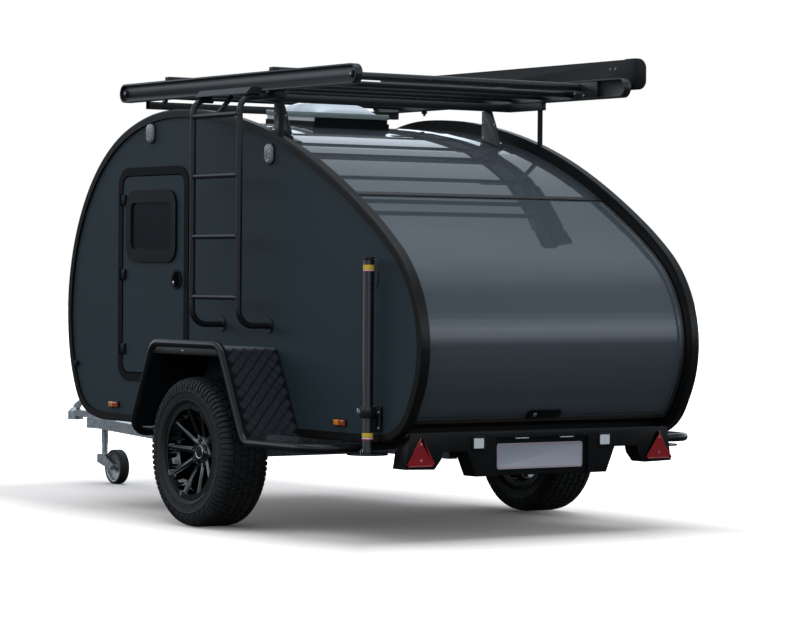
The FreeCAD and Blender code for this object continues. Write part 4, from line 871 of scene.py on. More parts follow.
def makeValves():
    angle = math.radians(valve["angle"])
    outward = Vector((math.cos(angle), 0, math.sin(angle)))

    def spot(reach, across):
        return wheelMiddle + outward * reach + Vector((0, across, 0))
    stem = addRod("valveStem", spot(valve["foot"], 0.070), spot(valve["tip"], 0.098), 0.0055, 12, 0.004)
    cap = addRod("valveCap", spot(valve["tip"], 0.096), spot(valve["tip"], 0.108), 0.0048, 12, 0.0042)
    for part in (stem, cap):
        bevelAll(part, 0.0006, 2)
    bothSides(joinPieces("valve", [stem, cap]), "valve", "blackRubber", onWheels)


def makeRims():
    for side in sides:
        dressNode("rim_" + side, "rim" + side.capitalize() + "Spokes", "wheel_" + side, "wheelAlloy", flatAngle=0.02)


makeTyre()
makeWheelFittings()
makeValves()
makeRims()
print("wheels made")


# Fenders: raised bars of the chequer plate

fender = dict(corners=[(-1.385, 0.439), (-1.162, 0.891), (-0.537, 0.891), (-0.322, 0.439)], sheetDrop=0.0152,
              bend=0.075, low=0.812, high=1.117, period=0.060, barLength=0.032, barWidth=0.0024,
              barHeight=0.0018, barGap=0.0102, margin=0.022, tubeMore=0.0055)


def crossing(first, second):  # where two lines meet, each a point and a heading
    (start, heading), (other, along) = first, second
    apart = other - start
    return start + heading * ((apart.x * along.y - apart.y * along.x) / (heading.x * along.y - heading.y * along.x))


def sheetPath():  # the upper face of the bent sheet, as evenly spaced points with their headings
    corners = [Vector(corner) for corner in fender["corners"]]
    drop = fender["sheetDrop"]
    lines = []
    for a, b in zip(corners, corners[1:]):
        run = (b - a).normalized()
        inward = Vector((run.y, -run.x)) * drop
        lines.append((a + inward, run))
    first, last = lines[0][0], lines[2][0] + lines[2][1] * (corners[3] - corners[2]).length
    turns = [crossing(lines[0], lines[1]), crossing(lines[1], lines[2])]
    radius = fender["bend"] - drop
    points = [first]
    for turn, (before, after) in zip(turns, ((lines[0][1], lines[1][1]), (lines[1][1], lines[2][1]))):
        angle = before.angle(after)
        cut = radius * math.tan(angle / 2)
        start = turn - before * cut
        centre = start + Vector((before.y, -before.x)) * radius
        for i in range(13):
            swing = -angle * i / 12
            arm = start - centre
            points.append(centre + Vector((arm.x * math.cos(swing) - arm.y * math.sin(swing),
                                           arm.x * math.sin(swing) + arm.y * math.cos(swing))))
    points.append(last)
    return points


def makeChequerBars():
    points = sheetPath()
    lengths = [0.0]
    for a, b in zip(points, points[1:]):
        lengths.append(lengths[-1] + (b - a).length)

    def ontoSheet(co):  # distance along the sheet, distance across, height
        for i, (a, b) in enumerate(zip(points, points[1:])):
            if co.x <= lengths[i + 1] or i == len(points) - 2:
                run = (b - a).normalized()
                spot = a + run * (co.x - lengths[i])
                return Vector((spot.x - run.y * co.z, co.y, spot.y + run.x * co.z))

    bar = addBlock("highlightChequerBar", (-fender["barLength"] / 2, -fender["barWidth"] / 2, 0.0),
                   (fender["barLength"] / 2, fender["barWidth"] / 2, fender["barHeight"]))
    editSelected(bar, faceRule=lambda f: f.normal.z > 0.9)
    bpy.ops.transform.resize(value=(0.86, 0.4, 1.0))
    bpy.ops.mesh.select_all(action="DESELECT")
    editDone()
    editSelected(bar, faceRule=lambda f: f.normal.z < -0.9)
    bpy.ops.mesh.delete(type="ONLY_FACE")
    editDone()
    groups = []
    for turn, name in ((45, "risingBars"), (-45, "fallingBars")):
        bars = [copyPiece(bar, "bar", Matrix.Rotation(math.radians(turn), 4, "Z")
                          @ Matrix.Translation((0, fender["barGap"] * (k - 1.5), 0))) for k in range(4)]
        groups.append(joinPieces(name, bars))
    bpy.data.objects.remove(bar)
    period, margin = fender["period"], fender["margin"]
    parts = []
    rows = int(lengths[-1] / period)
    columns = int((fender["high"] - fender["low"]) / period) + 1
    for i in range(rows + 1):
        for j in range(columns):
            for group, shift in zip(groups, (0.0, 0.5)):
                along = margin + (i + shift) * period
                across = fender["low"] + margin + (j + shift) * period
                if along < lengths[-1] - margin and across < fender["high"] - margin * 0.6:
                    parts.append(copyPiece(group, "group", Matrix.Translation((along, across, 0))))
    for group in groups:
        bpy.data.objects.remove(group)
    bars = joinPieces("chequerBarsLeft", parts)
    moveVertices(bars, ontoSheet)
    # the bars take the lighter finish: painted highlight on the raised bars
    bothSides(bars, "chequerBars", "highlightChequerBar", smooth=20)


valance = dict(corners=[(-1.168, 0.8390), (-1.152, 0.8560), (-1.122, 0.8755), (-0.577, 0.8755), (-0.547, 0.8560),
                        (-0.531, 0.8390)], face=1.1402, thickness=0.0022, slot=(-0.825, 0.858))


def makeValance():  # the top plate's turned-down edge, carried round into both bends
    edge = addPlate("valance", [(x, valance["face"], z) for x, z in valance["corners"]], (0, valance["thickness"], 0))
    bevelAll(edge, 0.0008, 2)
    x, z = valance["slot"]
    slot = addBlock("slot", (x - 0.011, valance["face"] + 0.001, z - 0.0026),
                    (x + 0.011, valance["face"] + valance["thickness"] + 0.0006, z + 0.0026), 0.0012, 3)
    bothSides(edge, "valance", "blackTrim")
    bothSides(slot, "valanceSlot", "brightAluminium")


def makeFenderTubes():  # the bent tubes at their full thickness, with their outer side left where it is
    tubes = cadCopy("fender_tubes", "fenderTubes", flatAngle=0.01)
    outward = [vertex.normal.copy() for vertex in tubes.data.vertices]
    for vertex, normal in zip(tubes.data.vertices, outward):
        inward = Vector((0, -math.copysign(1, vertex.co.y), 0))
        vertex.co += (normal + inward) * fender["tubeMore"]
    fitPiece(tubes, "trailer", "blackSteel", ["fender_tubes"], 40)


makeChequerBars()
makeFenderTubes()
makeValance()
print("fenders made")


# Light panel with its plate and lamps

panel = dict(plateRound=0.012, plateRim=0.0055, lampSize=0.079, lampRound=0.012, lampRim=0.0085, triangleSide=0.155,
             ridge=0.0025, screwLow=0.030, screwHigh=0.104, slotPlaces=(0.114, -0.149), slotHalf=0.039,
             knob=(-2.150, -0.776, 0.503))


def makePlate():
    low, high = nodeBox("number_plate")
    plate = addBlock("numberPlateBlank", low, high)
    bevelPicked(plate, runsAlong("x"), panel["plateRound"], 6)
    insetFaces(plate, lambda f: f.normal.x < -0.9, [panel["plateRim"], 0.0030, 0.0012], (0.0006, 0, 0))
    fitPiece(plate, "trailer", "plateWhite", ["number_plate"], 40)
    middle = (low + high) / 2

    def onBorder(face):
        fromEdge = min((high.y - low.y) / 2 - abs(face.center.y - middle.y),
                       (high.z - low.z) / 2 - abs(face.center.z - middle.z))
        return face.normal.x < -0.9 and panel["plateRim"] < fromEdge < panel["plateRim"] + 0.0035
    paintFaces(plate, "plateBorder", onBorder)


def makeTriangles():
    low, high = nodeBox("tail_reflectors")
    half = panel["triangleSide"] / 2
    middle = high.y - half
    lens = addPlate("triangle", [(high.x, middle - half, low.z), (high.x, middle + half, low.z),
                                 (high.x, middle, high.z)], (-0.0070, 0, 0))
    bevelPicked(lens, runsAlong("x"), 0.004, 3)
    insetFaces(lens, lambda f: f.normal.x < -0.9, [0.006, 0.001], (-0.0008, 0, 0))
    bisectAt(lens, (0, middle, 0), (0, 1, 0))
    for vertex in lens.data.vertices:
        if vertex.co.x < high.x - 0.0075 and abs(vertex.co.y - middle) < 0.0005:
            vertex.co.x -= panel["ridge"] - 0.0005
    lenses = bothSides(lens, "triangle", "redLamp", smooth=20)
    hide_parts("tail_reflectors")
    for piece in lenses:
        paintFaces(piece, "redEdge", lambda f: f.center.x < high.x - 0.0065 and f.center.x > high.x - 0.0072)
    screws = [addScrew((high.x - 0.0088, middle, low.z + rise), (-1, 0, 0), 0.0050, 0.0012)
              for rise in (panel["screwLow"], panel["screwHigh"])]
    bothSides(joinPieces("triangleScrews", screws), "triangleScrews", "zincScrew")


def makeReversingLamps():
    low, high = nodeBox("reversing_lamps")
    lamp = addBlock("reversingLamp", (low.x, high.y - panel["lampSize"], low.z), high)
    bevelPicked(lamp, runsAlong("x"), panel["lampRound"], 5)
    bevelPicked(lamp, below("x", low.x + 0.0001), 0.0015, 2)
    insetFaces(lamp, lambda f: f.normal.x < -0.99 and f.calc_area() > 0.002, [panel["lampRim"], 0.0008],
               (0.0015, 0, 0))
    lamps = bothSides(lamp, "reversingLamp", "blackTrim", smooth=30)
    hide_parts("reversing_lamps")
    for piece in lamps:
        paintFaces(piece, "whiteLamp", lambda f: f.normal.x < -0.9 and f.center.x > low.x + 0.001)


def makeLightPanel():
    dressNode("light_panel", "lightPanel", "trailer", "blackTrim", 0.0035, 3, 2.0)
    low, high = nodeBox("number_plate")
    slots = []
    for place in panel["slotPlaces"]:
        slot = addBlock("slot", (low.x - 0.014, place - panel["slotHalf"], high.z + 0.0215),
                        (low.x + 0.001, place + panel["slotHalf"], high.z + 0.0270), 0.002, 3)
        slots.append(slot)
    fitPiece(joinPieces("plateLights", slots), "trailer", "whiteLamp")
    knob = Vector(panel["knob"])
    button = addRod("knob", knob, knob + Vector((0, 0, 0.022)), 0.010, 20, 0.008)
    bevelAll(button, 0.003, 3)
    stem = addRod("stem", knob - Vector((0, 0, 0.02)), knob + Vector((0, 0, 0.004)), 0.006, 16)
    bevelAll(stem, 0.0005, 2)
    fitPiece(joinPieces("panelKnob", [button, stem]), "trailer", "blackSteel")


def lockPlace(node, y, z, reach):  # middle and outward direction of a round lock's face
    mesh = nodes[node].data
    faces = [f for f in mesh.polygons if f.normal.x < -0.4
             and (f.center.y - y) ** 2 + (f.center.z - z) ** 2 < reach ** 2]
    centre = sum((f.center * f.area for f in faces), Vector()) / sum(f.area for f in faces)
    normal = sum((f.normal * f.area for f in faces), Vector()).normalized()
    return centre, normal


def makeLatch():
    dressNode("hatch_latch", "hatchLatch", "hatch", "blackTrim", 0.0010)
    low, high = nodeBox("hatch_latch")
    centre, out = lockPlace("hatch_latch", high.y - 0.034, (low.z + high.z) / 2, 0.011)
    ring = addRing("keyRing", centre, out, 0.0095, 0.0014, 32, 10)
    core = addRod("keyCore", centre - out * 0.001, centre + out * 0.0012, 0.0080, 24)
    bevelAll(core, 0.0004, 2)
    groove = addBlock("keyWay", (-0.0006, -0.0030, 0), (0.0006, 0.0030, 0.0003), 0.0002, 1)
    turn = out.to_track_quat("Z", "Y").to_matrix().to_4x4()
    groove.data.transform(Matrix.Translation(centre + out * 0.0011) @ turn)
    fitPiece(joinPieces("hatchLock", [ring, core, groove]), "hatch", "zincScrew")


def makeHatchSeal():  # weather strip behind the hatch's lower edge, and a bulb along the sill
    low, high = nodeBox("tail_sill")
    left, right = low.y + 0.004, high.y - 0.004
    lip = addBlock("lip", (high.x - 0.016, left, high.z - 0.004), (high.x - 0.006, right, high.z + 0.026))
    bevelPicked(lip, above("z", high.z), 0.004, 3)
    bulb = addRod("bulb", (low.x + 0.012, left, high.z + 0.0004), (low.x + 0.012, right, high.z + 0.0004), 0.0042, 14)
    fitPiece(joinPieces("hatchSeal", [lip, bulb]), "trailer", "blackRubber")


hatch = dict(skin=[(-2.1655, 0.5525), (-2.1828, 0.5642), (-2.1951, 0.5742)], out=(-0.59, -0.81), thickness=0.003,
             half=0.7625)


def makeHatchRail():  # dark profile along the hatch's lower edge
    outX, outZ = (hatch["thickness"] * share for share in hatch["out"])
    outer = [(x + outX, z + outZ) for x, z in hatch["skin"]]
    corners = [(x, -hatch["half"], z) for x, z in hatch["skin"] + outer[::-1]]
    rail = addPlate("hatchLowerRail", corners, (0, 2 * hatch["half"], 0))
    bevelAll(rail, 0.0008, 2)
    fitPiece(rail, "hatch", "hatchRail")


makePlate()
makeTriangles()
makeReversingLamps()
makeLightPanel()
makeLatch()
makeHatchSeal()
makeHatchRail()
print("tail made")


# Rear steadies

steady = dict(x=-2.014, y=0.862, radius=0.0255, top=1.314, sole=0.415, lift=0.071,
              bands=((1.2565, 1.2785, "yellowTape"), (1.2520, 1.2555, "whiteTape"), (1.2480, 1.2515, "redTape"),
                     (0.4890, 0.5090, "yellowTape"), (0.4820, 0.4870, "whiteTape"), (0.4765, 0.4815, "redTape")),
              handle=[(0.020, 1.3035), (0.060, 1.3035), (0.080, 1.288), (0.080, 1.186), (0.060, 1.171),
                      (0.020, 1.171)], handleWire=0.0034, footTop=0.40, plateFoot=0.45, ringFoot=0.60, packedRing=0.520,
              reach=0.050, screwZ=(0.532, 0.604),
              clampLow=0.578, clampHigh=0.628, plateFace=0.824, plateLow=0.515, plateLift=0.014)


def addBentWire(name, points, radius, roundBy=0.012):  # wire swept along rounded corners
    curve = bpy.data.curves.new(name, "CURVE")
    curve.dimensions = "3D"
    curve.bevel_depth = radius
    curve.bevel_resolution = 3
    curve.use_fill_caps = True
    spline = curve.splines.new("NURBS")
    spline.points.add(len(points) - 1)
    for spot, point in zip(spline.points, points):
        spot.co = (*point, 1.0)
    spline.order_u = 3
    spline.use_endpoint_u = True
    spline.resolution_u = 8
    wire = bpy.data.objects.new(name, curve)
    bpy.context.scene.collection.objects.link(wire)
    makeActive(wire)
    bpy.ops.object.convert(target="MESH")
    return newPiece(name)


def makeSteadies():
    x, y, radius = steady["x"], steady["y"], steady["radius"]
    bodies = ("rear_steady_left", "rear_steady_right")
    for side in sides:  # the foot is drawn up as far as it parks
        tube = cadCopy("steady_" + side, "steadyTube" + side.capitalize(), 0.0010, 2, 0.05)
        for vertex in tube.data.vertices:
            if vertex.co.z < steady["footTop"]:
                vertex.co.z += steady["lift"]
        fitPiece(tube, "rear_steady_" + side, "blackSteel", ["steady_" + side], 40)
    clamps = cadCopy("steady_brackets", "steadyClamps", 0.0012, 2, 0.05)
    for vertex in clamps.data.vertices:  # the ring sits at the top of its plate
        height = vertex.co.z
        if height < steady["plateFoot"]:
            vertex.co.z = steady["plateLow"]
        elif height > steady["ringFoot"]:
            vertex.co.z = height + steady["plateLift"]
        else:
            vertex.co.z = height + steady["clampLow"] - steady["packedRing"]
    fitPiece(clamps, "trailer", "blackSteel", ["steady_brackets"], 40)
    byTape = {}
    for low, high, tape in steady["bands"]:
        band = addRod("band", (x, y, low), (x, y, high), radius + 0.0005, 40)
        bevelAll(band, 0.0002, 1)
        byTape.setdefault(tape, []).append(band)
    for tape, bands in byTape.items():
        bothSides(joinPieces(tape, bands), "steady" + tape.capitalize(), tape, bodies)
    cap = addRod("cap", (x, y, steady["top"] - 0.014), (x, y, steady["top"] - 0.0002), radius + 0.0012, 32)
    bevelPicked(cap, above("z", steady["top"] - 0.001), 0.004, 4)
    bothSides(cap, "steadyCap", "blackTrim", bodies)
    handle = addBentWire("handle", [(x - out, y, z) for out, z in steady["handle"]], steady["handleWire"])
    bothSides(handle, "steadyHandle", "blackSteel", bodies)
    pin = addRod("pin", (x, y - 0.031, steady["sole"] + 0.018), (x, y + 0.031, steady["sole"] + 0.018), 0.0035, 12)
    clip = addRing("clip", (x, y + 0.0325, steady["sole"] + 0.009), (0, 1, 0.2), 0.0085, 0.0013, 28, 8)
    weld = addRing("weld", (x, y, steady["sole"] + 0.001), (0, 0, 1), radius + 0.0012, 0.003, 48, 8)
    bothSides(joinPieces("pin", [pin, clip]), "steadyPin", "zincScrew", bodies)
    bothSides(weld, "steadyWeld", "blackSteel", bodies)

    middle = (steady["clampLow"] + steady["clampHigh"]) / 2
    ears = []
    for shift in (-0.0075, 0.0075):
        ear = addBlock("ear", (x + 0.030, y + shift - 0.0045, middle - 0.017),
                       (x + 0.062, y + shift + 0.0045, middle + 0.017), 0.002)
        ears.append(ear)
    bothSides(joinPieces("ears", ears), "clampEars", "blackSteel")
    boltX = x + steady["reach"]
    bolts = [addHexBolt((boltX, y + 0.012 * way, middle), (0, way, 0)) for way in (1, -1)]
    shank = addRod("shank", (boltX, y - 0.022, middle), (boltX, y + 0.026, middle), 0.004, 12)
    wing = addBlock("wing", (x + 0.0475, y + 0.017, middle - 0.018), (x + 0.0525, y + 0.024, middle + 0.018), 0.002, 3)
    for across in (-0.034, 0.034):
        for z in steady["screwZ"]:
            bolts.append(addScrew((x + across, steady["plateFace"], z), (0, 1, 0), 0.0052, 0.0032))
    bothSides(joinPieces("bolts", bolts + [shank, wing]), "clampBolts", "zincScrew")


makeSteadies()
print("steadies made")


# Roof rack, awning and ladder

rack = dict(rail=0.800, webHalf=0.003, lip=0.7805, blockBack=-1.612, blockFront=-1.420, low=2.1272, high=2.2058,
            middle=2.1665, bossX=(-1.7845, 0.3265), bracketX=(0.144, -0.886), bracketY=0.636,
            bracketTop=2.080, bossY=0.8162, blockScrews=((-1.436, 2.152), (-1.508, 2.140)),
            holes=((0.030, 0.057), (0.030, 0.134), (-0.066, 0.070), (-0.122, 0.169)))


def makeRack():
    dressNode("rack_side_rails", "rackRails", "trailer", "blackAluminium", 0.0022)
    block = addBlock("block", (rack["blockBack"], rack["lip"] - 0.0006, rack["low"]),
                     (rack["blockFront"], rack["rail"] - rack["webHalf"], rack["high"]), 0.002)
    bothSides(block, "railEndBlock", "blackAluminium")
    screws = []
    for x in rack["bossX"]:
        screws.append(addScrew((x, rack["bossY"], rack["middle"]), (0, 1, 0), 0.0060, 0.0030, 20))
    for x, z in rack["blockScrews"]:
        screws.append(addScrew((x, rack["lip"] - 0.0004, z), (0, -1, 0), 0.0055, 0.0030))
    bothSides(joinPieces("screws", screws), "railScrews", "zincScrew")
    rivets = []
    for x in rack["bracketX"]:
        for ahead, drop in rack["holes"]:
            z = rack["bracketTop"] - drop
            y = rack["bracketY"]
            rivet = addRod("rivet", (x + ahead, y - 0.0036, z), (x + ahead, y + 0.0036, z), 0.0036, 14)
            bevelAll(rivet, 0.0004, 1)
            rivets.append(rivet)
    bothSides(joinPieces("rivets", rivets), "bracketEyelets", "whitePlastic")
    dressNode("rack_brackets", "rackBrackets", "trailer", "blackSteel", 0.0012)
    dressNode("rack_bars", "rackBars", "trailer", "blackAluminium", 0.0025, 3)


rooflight = dict(half=0.231, step=0.007, frame=0.020, edge=0.027, dome=0.057, border=0.045, steps=22, square=3.2,
                 shoulder=0.62)


def makeRooflight():  # white frame round the black base, clear edge and a pillow-shaped dome, all on the roof's slope
    curb = nodes["rooflight_curb"].data
    top = max((face for face in curb.polygons if face.normal.z > 0.9), key=lambda face: face.center.z)
    slope = Vector((0, 0, 1)).rotation_difference(top.normal).to_matrix().to_4x4()
    low, high = nodeBox("rooflight_curb")
    x = (low.x + high.x) / 2
    z = top.center.z - (x - top.center.x) * top.normal.x / top.normal.z
    place = Matrix.Translation((x, 0, z)) @ slope

    half = rooflight["half"] - rooflight["step"] + 0.001
    frame = addBlock("rooflightFrame", (-half, -half, -rooflight["frame"]), (half, half, 0))
    editSelected(frame, faceRule=lambda f: abs(f.normal.z) > 0.9)
    bpy.ops.mesh.delete(type="FACE")
    editDone()
    applyModifier(frame, "SOLIDIFY", thickness=0.0016, offset=-1.0)
    frame.data.transform(place)
    fitPiece(frame, "trailer", "whitePlastic")

    half = rooflight["half"]
    edge = addBlock("rooflightEdge", (-half, -half, 0.0002), (half, half, rooflight["edge"]), 0.0035, 3)
    edge.data.transform(place)

    deselectAll()
    half = rooflight["half"] - rooflight["border"]
    bpy.ops.mesh.primitive_grid_add(x_subdivisions=rooflight["steps"], y_subdivisions=rooflight["steps"], size=2)
    dome = newPiece("rooflightDome")
    for vertex in dome.data.vertices:  # drawn dome: flat in the middle, steep at its foot
        a, b = (math.sin(side * math.pi / 2) for side in vertex.co.xy)
        swell = ((1 - abs(a) ** rooflight["square"]) * (1 - abs(b) ** rooflight["square"])) ** rooflight["shoulder"]
        vertex.co = (half * a, half * b, rooflight["edge"] - 0.002 + rooflight["dome"] * swell)
    applyModifier(dome, "SOLIDIFY", thickness=0.004, offset=-1.0)
    dome.data.transform(place)
    fitPiece(edge, "trailer", "clearPlastic", ["rooflight_lid"], 35)
    # pale dome finish: painted sky reflection
    fitPiece(dome, "trailer", "skyReflectionPlastic", smooth=60)


awning = dict(back=-1.756, front=0.484, cap=0.080, inner=-0.908, ribs=(2.183, 2.222, 2.246, 2.288, 2.305),
              screws=((-1.602, 2.274), (-1.560, 2.274)))


def makeAwning():
    dressNode("awning", "awningCassette", "trailer", "blackTrim", 0.003, 3)
    ribs = []
    for z in awning["ribs"]:
        rib = addBlock("rib", (awning["back"] + awning["cap"] + 0.001, awning["inner"] - 0.001, z - 0.0022),
                       (awning["front"] - awning["cap"] - 0.001, awning["inner"] + 0.0026, z + 0.0022))
        bevelPicked(rib, above("y", awning["inner"] + 0.002), 0.0016, 3)
        ribs.append(rib)
    fitPiece(joinPieces("awningRibs", ribs), "trailer", "blackAluminium")
    screws = [addScrew((x, awning["inner"] + 0.0005, z), (0, 1, 0), 0.0055, 0.0035) for x, z in awning["screws"]]
    fitPiece(joinPieces("awningScrews", screws), "trailer", "zincScrew")


ladder = dict(rails=((-1.076, 1), (-0.641, -1)), wall=0.804, footZ=0.997, screwRing=0.027, firstRung=0.136, top=2.003,
              rungs=4, rungY=0.980)


def makeLadder():
    screws = []
    for x, inward in ladder["rails"]:
        for turn in range(3):
            angle = math.radians(90 + 120 * turn)
            across, up = ladder["screwRing"] * math.cos(angle), ladder["screwRing"] * math.sin(angle)
            place = (x + across, ladder["wall"] + 0.008, ladder["footZ"] + up)
            screws.append(addScrew(place, (0, 1, 0), 0.0042, 0.0026))
    fitPiece(joinPieces("ladderScrews", screws), "trailer", "blackSteel")
    beads = []
    first = ladder["footZ"] + ladder["firstRung"]
    for x, inward in ladder["rails"]:
        for i in range(ladder["rungs"]):
            z = first + i * (ladder["top"] - first) / (ladder["rungs"] - 1)
            beads.append(addRing("bead", (x + inward * 0.0135, ladder["rungY"], z), (1, 0, 0), 0.0132, 0.0022, 32, 8))
    fitPiece(joinPieces("ladderWelds", beads), "trailer", "blackAluminium")


makeRack()
makeRooflight()
makeAwning()
makeLadder()
print("rack, awning and ladder made")


# Lamps, markers, door and window fittings on the walls

wallLamp = dict(places=((0.060, 1.951), (-1.081, 1.814)), wall=0.804, proud=0.026, radius=0.034, half=0.018)


def makeWallLamps():
    bases, lenses, lights = [], [], []
    for x, z in wallLamp["places"]:
        wall = wallLamp["wall"]
        base = addPlate("base", stadiumCorners((x, wall, z), wallLamp["radius"], wallLamp["half"]), (0, 0.007, 0))
        bevelPicked(base, above("y", wall + 0.006), 0.002, 2)
        lens = addPlate("lens", stadiumCorners((x, wall + 0.006, z), wallLamp["radius"] - 0.003, wallLamp["half"]),
                        (0, wallLamp["proud"] - 0.006, 0))
        bevelPicked(lens, above("y", wall + 0.02), 0.013, 6)
        for i in range(9):
            angle = 2 * math.pi * i / 9
            spot = (x + 0.019 * math.cos(angle), wall + wallLamp["proud"] - 0.0035, z + 0.033 * math.sin(angle))
            lights.append(addScrew(spot, (0, 1, 0), 0.0045, 0.0024, 12))
        bases.append(base)
        lenses.append(lens)
    lens = bothSides(joinPieces("lens", lenses), "wallLampLens", "lampGlass")
    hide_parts("wall_lamps")
    bothSides(joinPieces("bases", bases), "wallLampBase", "blackTrim")
    bothSides(joinPieces("lights", lights), "wallLampCells", "whiteTape")


marker = dict(places=((-1.7125, 0.542), (0.4285, 0.5415)), length=0.093, height=0.0325, wall=0.804, proud=0.020)


def makeMarkers():
    bases, lenses = [], []
    for x, z in marker["places"]:
        half, rise, wall = marker["length"] / 2, marker["height"] / 2, marker["wall"]
        base = addBlock("base", (x - half, wall, z - rise), (x + half, wall + 0.008, z + rise), 0.002)
        lens = addBlock("lens", (x - half + 0.004, wall + 0.006, z - rise + 0.003),
                        (x + half - 0.004, wall + marker["proud"], z + rise - 0.003))
        bevelPicked(lens, above("y", wall + 0.015), 0.004, 3)
        bisectAt(lens, (x, 0, 0), (1, 0, 0))
        bases.append(base)
        lenses.append(lens)
    pair = bothSides(joinPieces("lens", lenses), "markerLens", "amberLamp", smooth=30)
    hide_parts("side_markers")
    for piece in pair:
        paintFaces(piece, "amberDark", lambda f: any(x - 0.05 < f.center.x < x for x, z in marker["places"]))
    bothSides(joinPieces("bases", bases), "markerBase", "blackTrim")


door = dict(lockX=-0.200, lockZ=1.202, lockFace=0.828, pin=(0.364, 0.817), hingeZ=(0.838, 1.225, 1.612))


def makeDoorFittings():
    x, z, face = door["lockX"], door["lockZ"], door["lockFace"]
    bodies = ("door_left", "door_right")
    core = addRod("core", (x, face - 0.004, z - 0.018), (x, face + 0.0016, z - 0.018), 0.0085, 24)
    bevelPicked(core, above("y", face + 0.001), 0.0008, 2)
    bothSides(core, "doorKey", "zincScrew", bodies)
    pull = addBlock("pull", (x - 0.008, face - 0.003, z - 0.004), (x + 0.008, face + 0.0058, z + 0.034), 0.0028, 3)
    bothSides(pull, "doorPull", "blackTrim", bodies)

    pinX, pinY = door["pin"]
    covers = []
    for height in door["hingeZ"]:
        cover = addBlock("cover", (pinX - 0.0458, pinY - 0.0108, height - 0.0256),
                         (pinX - 0.0070, pinY + 0.0016, height + 0.0256))
        bevelPicked(cover, above("y", pinY), 0.003, 3)
        covers.append(cover)
    bothSides(joinPieces("covers", covers), "doorHinges", "blackTrim", bodies)

    low, high = nodeBox("window_pane_left")
    bead = addBlock("bead", (low.x + 0.006, high.y - 0.0006, low.z + 0.006),
                    (high.x - 0.006, high.y + 0.0062, high.z - 0.006))
    bevelPicked(bead, runsAlong("y"), 0.036, 8)
    insetFaces(bead, lambda f: abs(f.normal.y) > 0.9, [0.009])
    editSelected(bead, faceRule=lambda f: abs(f.normal.y) > 0.9 and f.calc_area() > 0.02)
    bpy.ops.mesh.bridge_edge_loops()
    editDone()
    bothSides(bead, "windowBead", "blackTrim", bodies, smooth=30)


trim = dict(knob=(0.834, 0.748), wall=0.804)


def makeWallKnob():
    x, z = trim["knob"]
    stem = addRod("stem", (x, trim["wall"] - 0.001, z), (x, trim["wall"] + 0.010, z), 0.0100, 20, 0.0080)
    head = addRod("head", (x, trim["wall"] + 0.008, z), (x, trim["wall"] + 0.0200, z), 0.0160, 32)
    for part in (stem, head):
        bevelAll(part, 0.0020, 3)
    fitPiece(joinPieces("wallStud", [stem, head]), "trailer", "blackTrim")


makeWallLamps()
makeMarkers()
makeDoorFittings()
makeWallKnob()
print("wall fittings made")


# Mattress: a stitched foam pad with a piped edge

pad = dict(inset=0.008, pitch=0.180, crown=0.012, dip=0.006, voxel=0.014, cap=0.010, frames=16)


def makeMattress():
    low, high = nodeBox("mattress")
    inset = pad["inset"]
    cushion = addBlock("mattressPad", low + Vector((inset, inset, 0.001)),
                       high - Vector((inset, inset, inset + pad["crown"])))
    bevelPicked(cushion, runsAlong("z", 0.01), 0.045, 5)
    bevelPicked(cushion, above("z", high.z - 0.03), 0.020, 4)
    applyModifier(cushion, "REMESH", mode="VOXEL", voxel_size=pad["voxel"] * 1)
    before = [v.co.copy() for v in cushion.data.vertices]
    cloth = cushion.modifiers.new("cloth", "CLOTH")
    cloth.settings.use_pressure = True
    cloth.settings.uniform_pressure_force = 4.0
    cloth.settings.effector_weights.gravity = 0.0
    scene = bpy.context.scene
    for step in range(1, pad["frames"] + 1):
        scene.frame_set(step)
    bpy.ops.object.modifier_apply(modifier=cloth.name)
    scene.frame_set(1)
    for vertex, start in zip(cushion.data.vertices, before):
        shift = vertex.co - start
        if shift.length > pad["cap"]:
            vertex.co = start + shift * (pad["cap"] / shift.length)
    top = high.z - 0.003
    for vertex in cushion.data.vertices:  # sewn channels across the bed, and the flat underside
        where = vertex.co
        if where.z > (low.z + high.z) / 2:
            phase = (where.x - low.x) / pad["pitch"] * math.pi
            across = min(1.0, (min(where.y - low.y, high.y - where.y)) / 0.10)
            groove = math.exp(-((math.sin(phase)) / 0.10) ** 2)
            where.z -= pad["dip"] * groove * max(0.0, across)
        where.z = min(max(where.z, low.z + 0.0008), top)
        where.x = min(max(where.x, low.x + 0.001), high.x - 0.001)
        where.y = min(max(where.y, low.y + 0.001), high.y - 0.001)
    fitPiece(cushion, "trailer", "mattressCloth", ["mattress"], 60)
    rim = [(low.x + 0.05, low.y + 0.012), (high.x - 0.05, low.y + 0.012), (high.x - 0.012, low.y + 0.05),
           (high.x - 0.012, high.y - 0.05), (high.x - 0.05, high.y - 0.012), (low.x + 0.05, high.y - 0.012),
           (low.x + 0.012, high.y - 0.05), (low.x + 0.012, low.y + 0.05)]
    piping = []
    for (xa, ya), (xb, yb) in zip(rim, rim[1:] + rim[:1]):
        piping.append(addRod("piping", (xa, ya, high.z - 0.030), (xb, yb, high.z - 0.030), 0.0042, 10))
    fitPiece(joinPieces("mattressPiping", piping), "trailer", "blackRubber")


makeMattress()
print("mattress made")


# Studio: a pale floor under one very large soft dome, with a lamp for the rear corner

# the floor colour is warm to cancel the dome's blue cast; floorBounce is the dark floor that bounce and reflection rays
# see: painted shade
studio = dict(floorSize=160.0, floorColour=(0.82, 0.73, 0.665), floorBounce=(0.06, 0.06, 0.06),
              fade={"X": (2.0, 3.6), "Y": (0.9, 2.0)}, domePeak=2.5, domeColour=(0.80, 0.90, 1.0),
              dome=[(0.0, 0.02), (0.035, 0.05), (0.07, 0.30), (0.155, 0.66), (0.25, 0.86), (0.36, 0.55), (0.5, 0.24),
                    (0.68, 0.20), (0.80, 0.36), (0.88, 0.90), (1.0, 1.0)],
              lamps={  # place, aim, width, depth, power
                  "rearBox": ((-9.0, 4.5, 4.5), (-1.8, 0.5, 1.0), 2.0, 3.0, 40.0),
              })


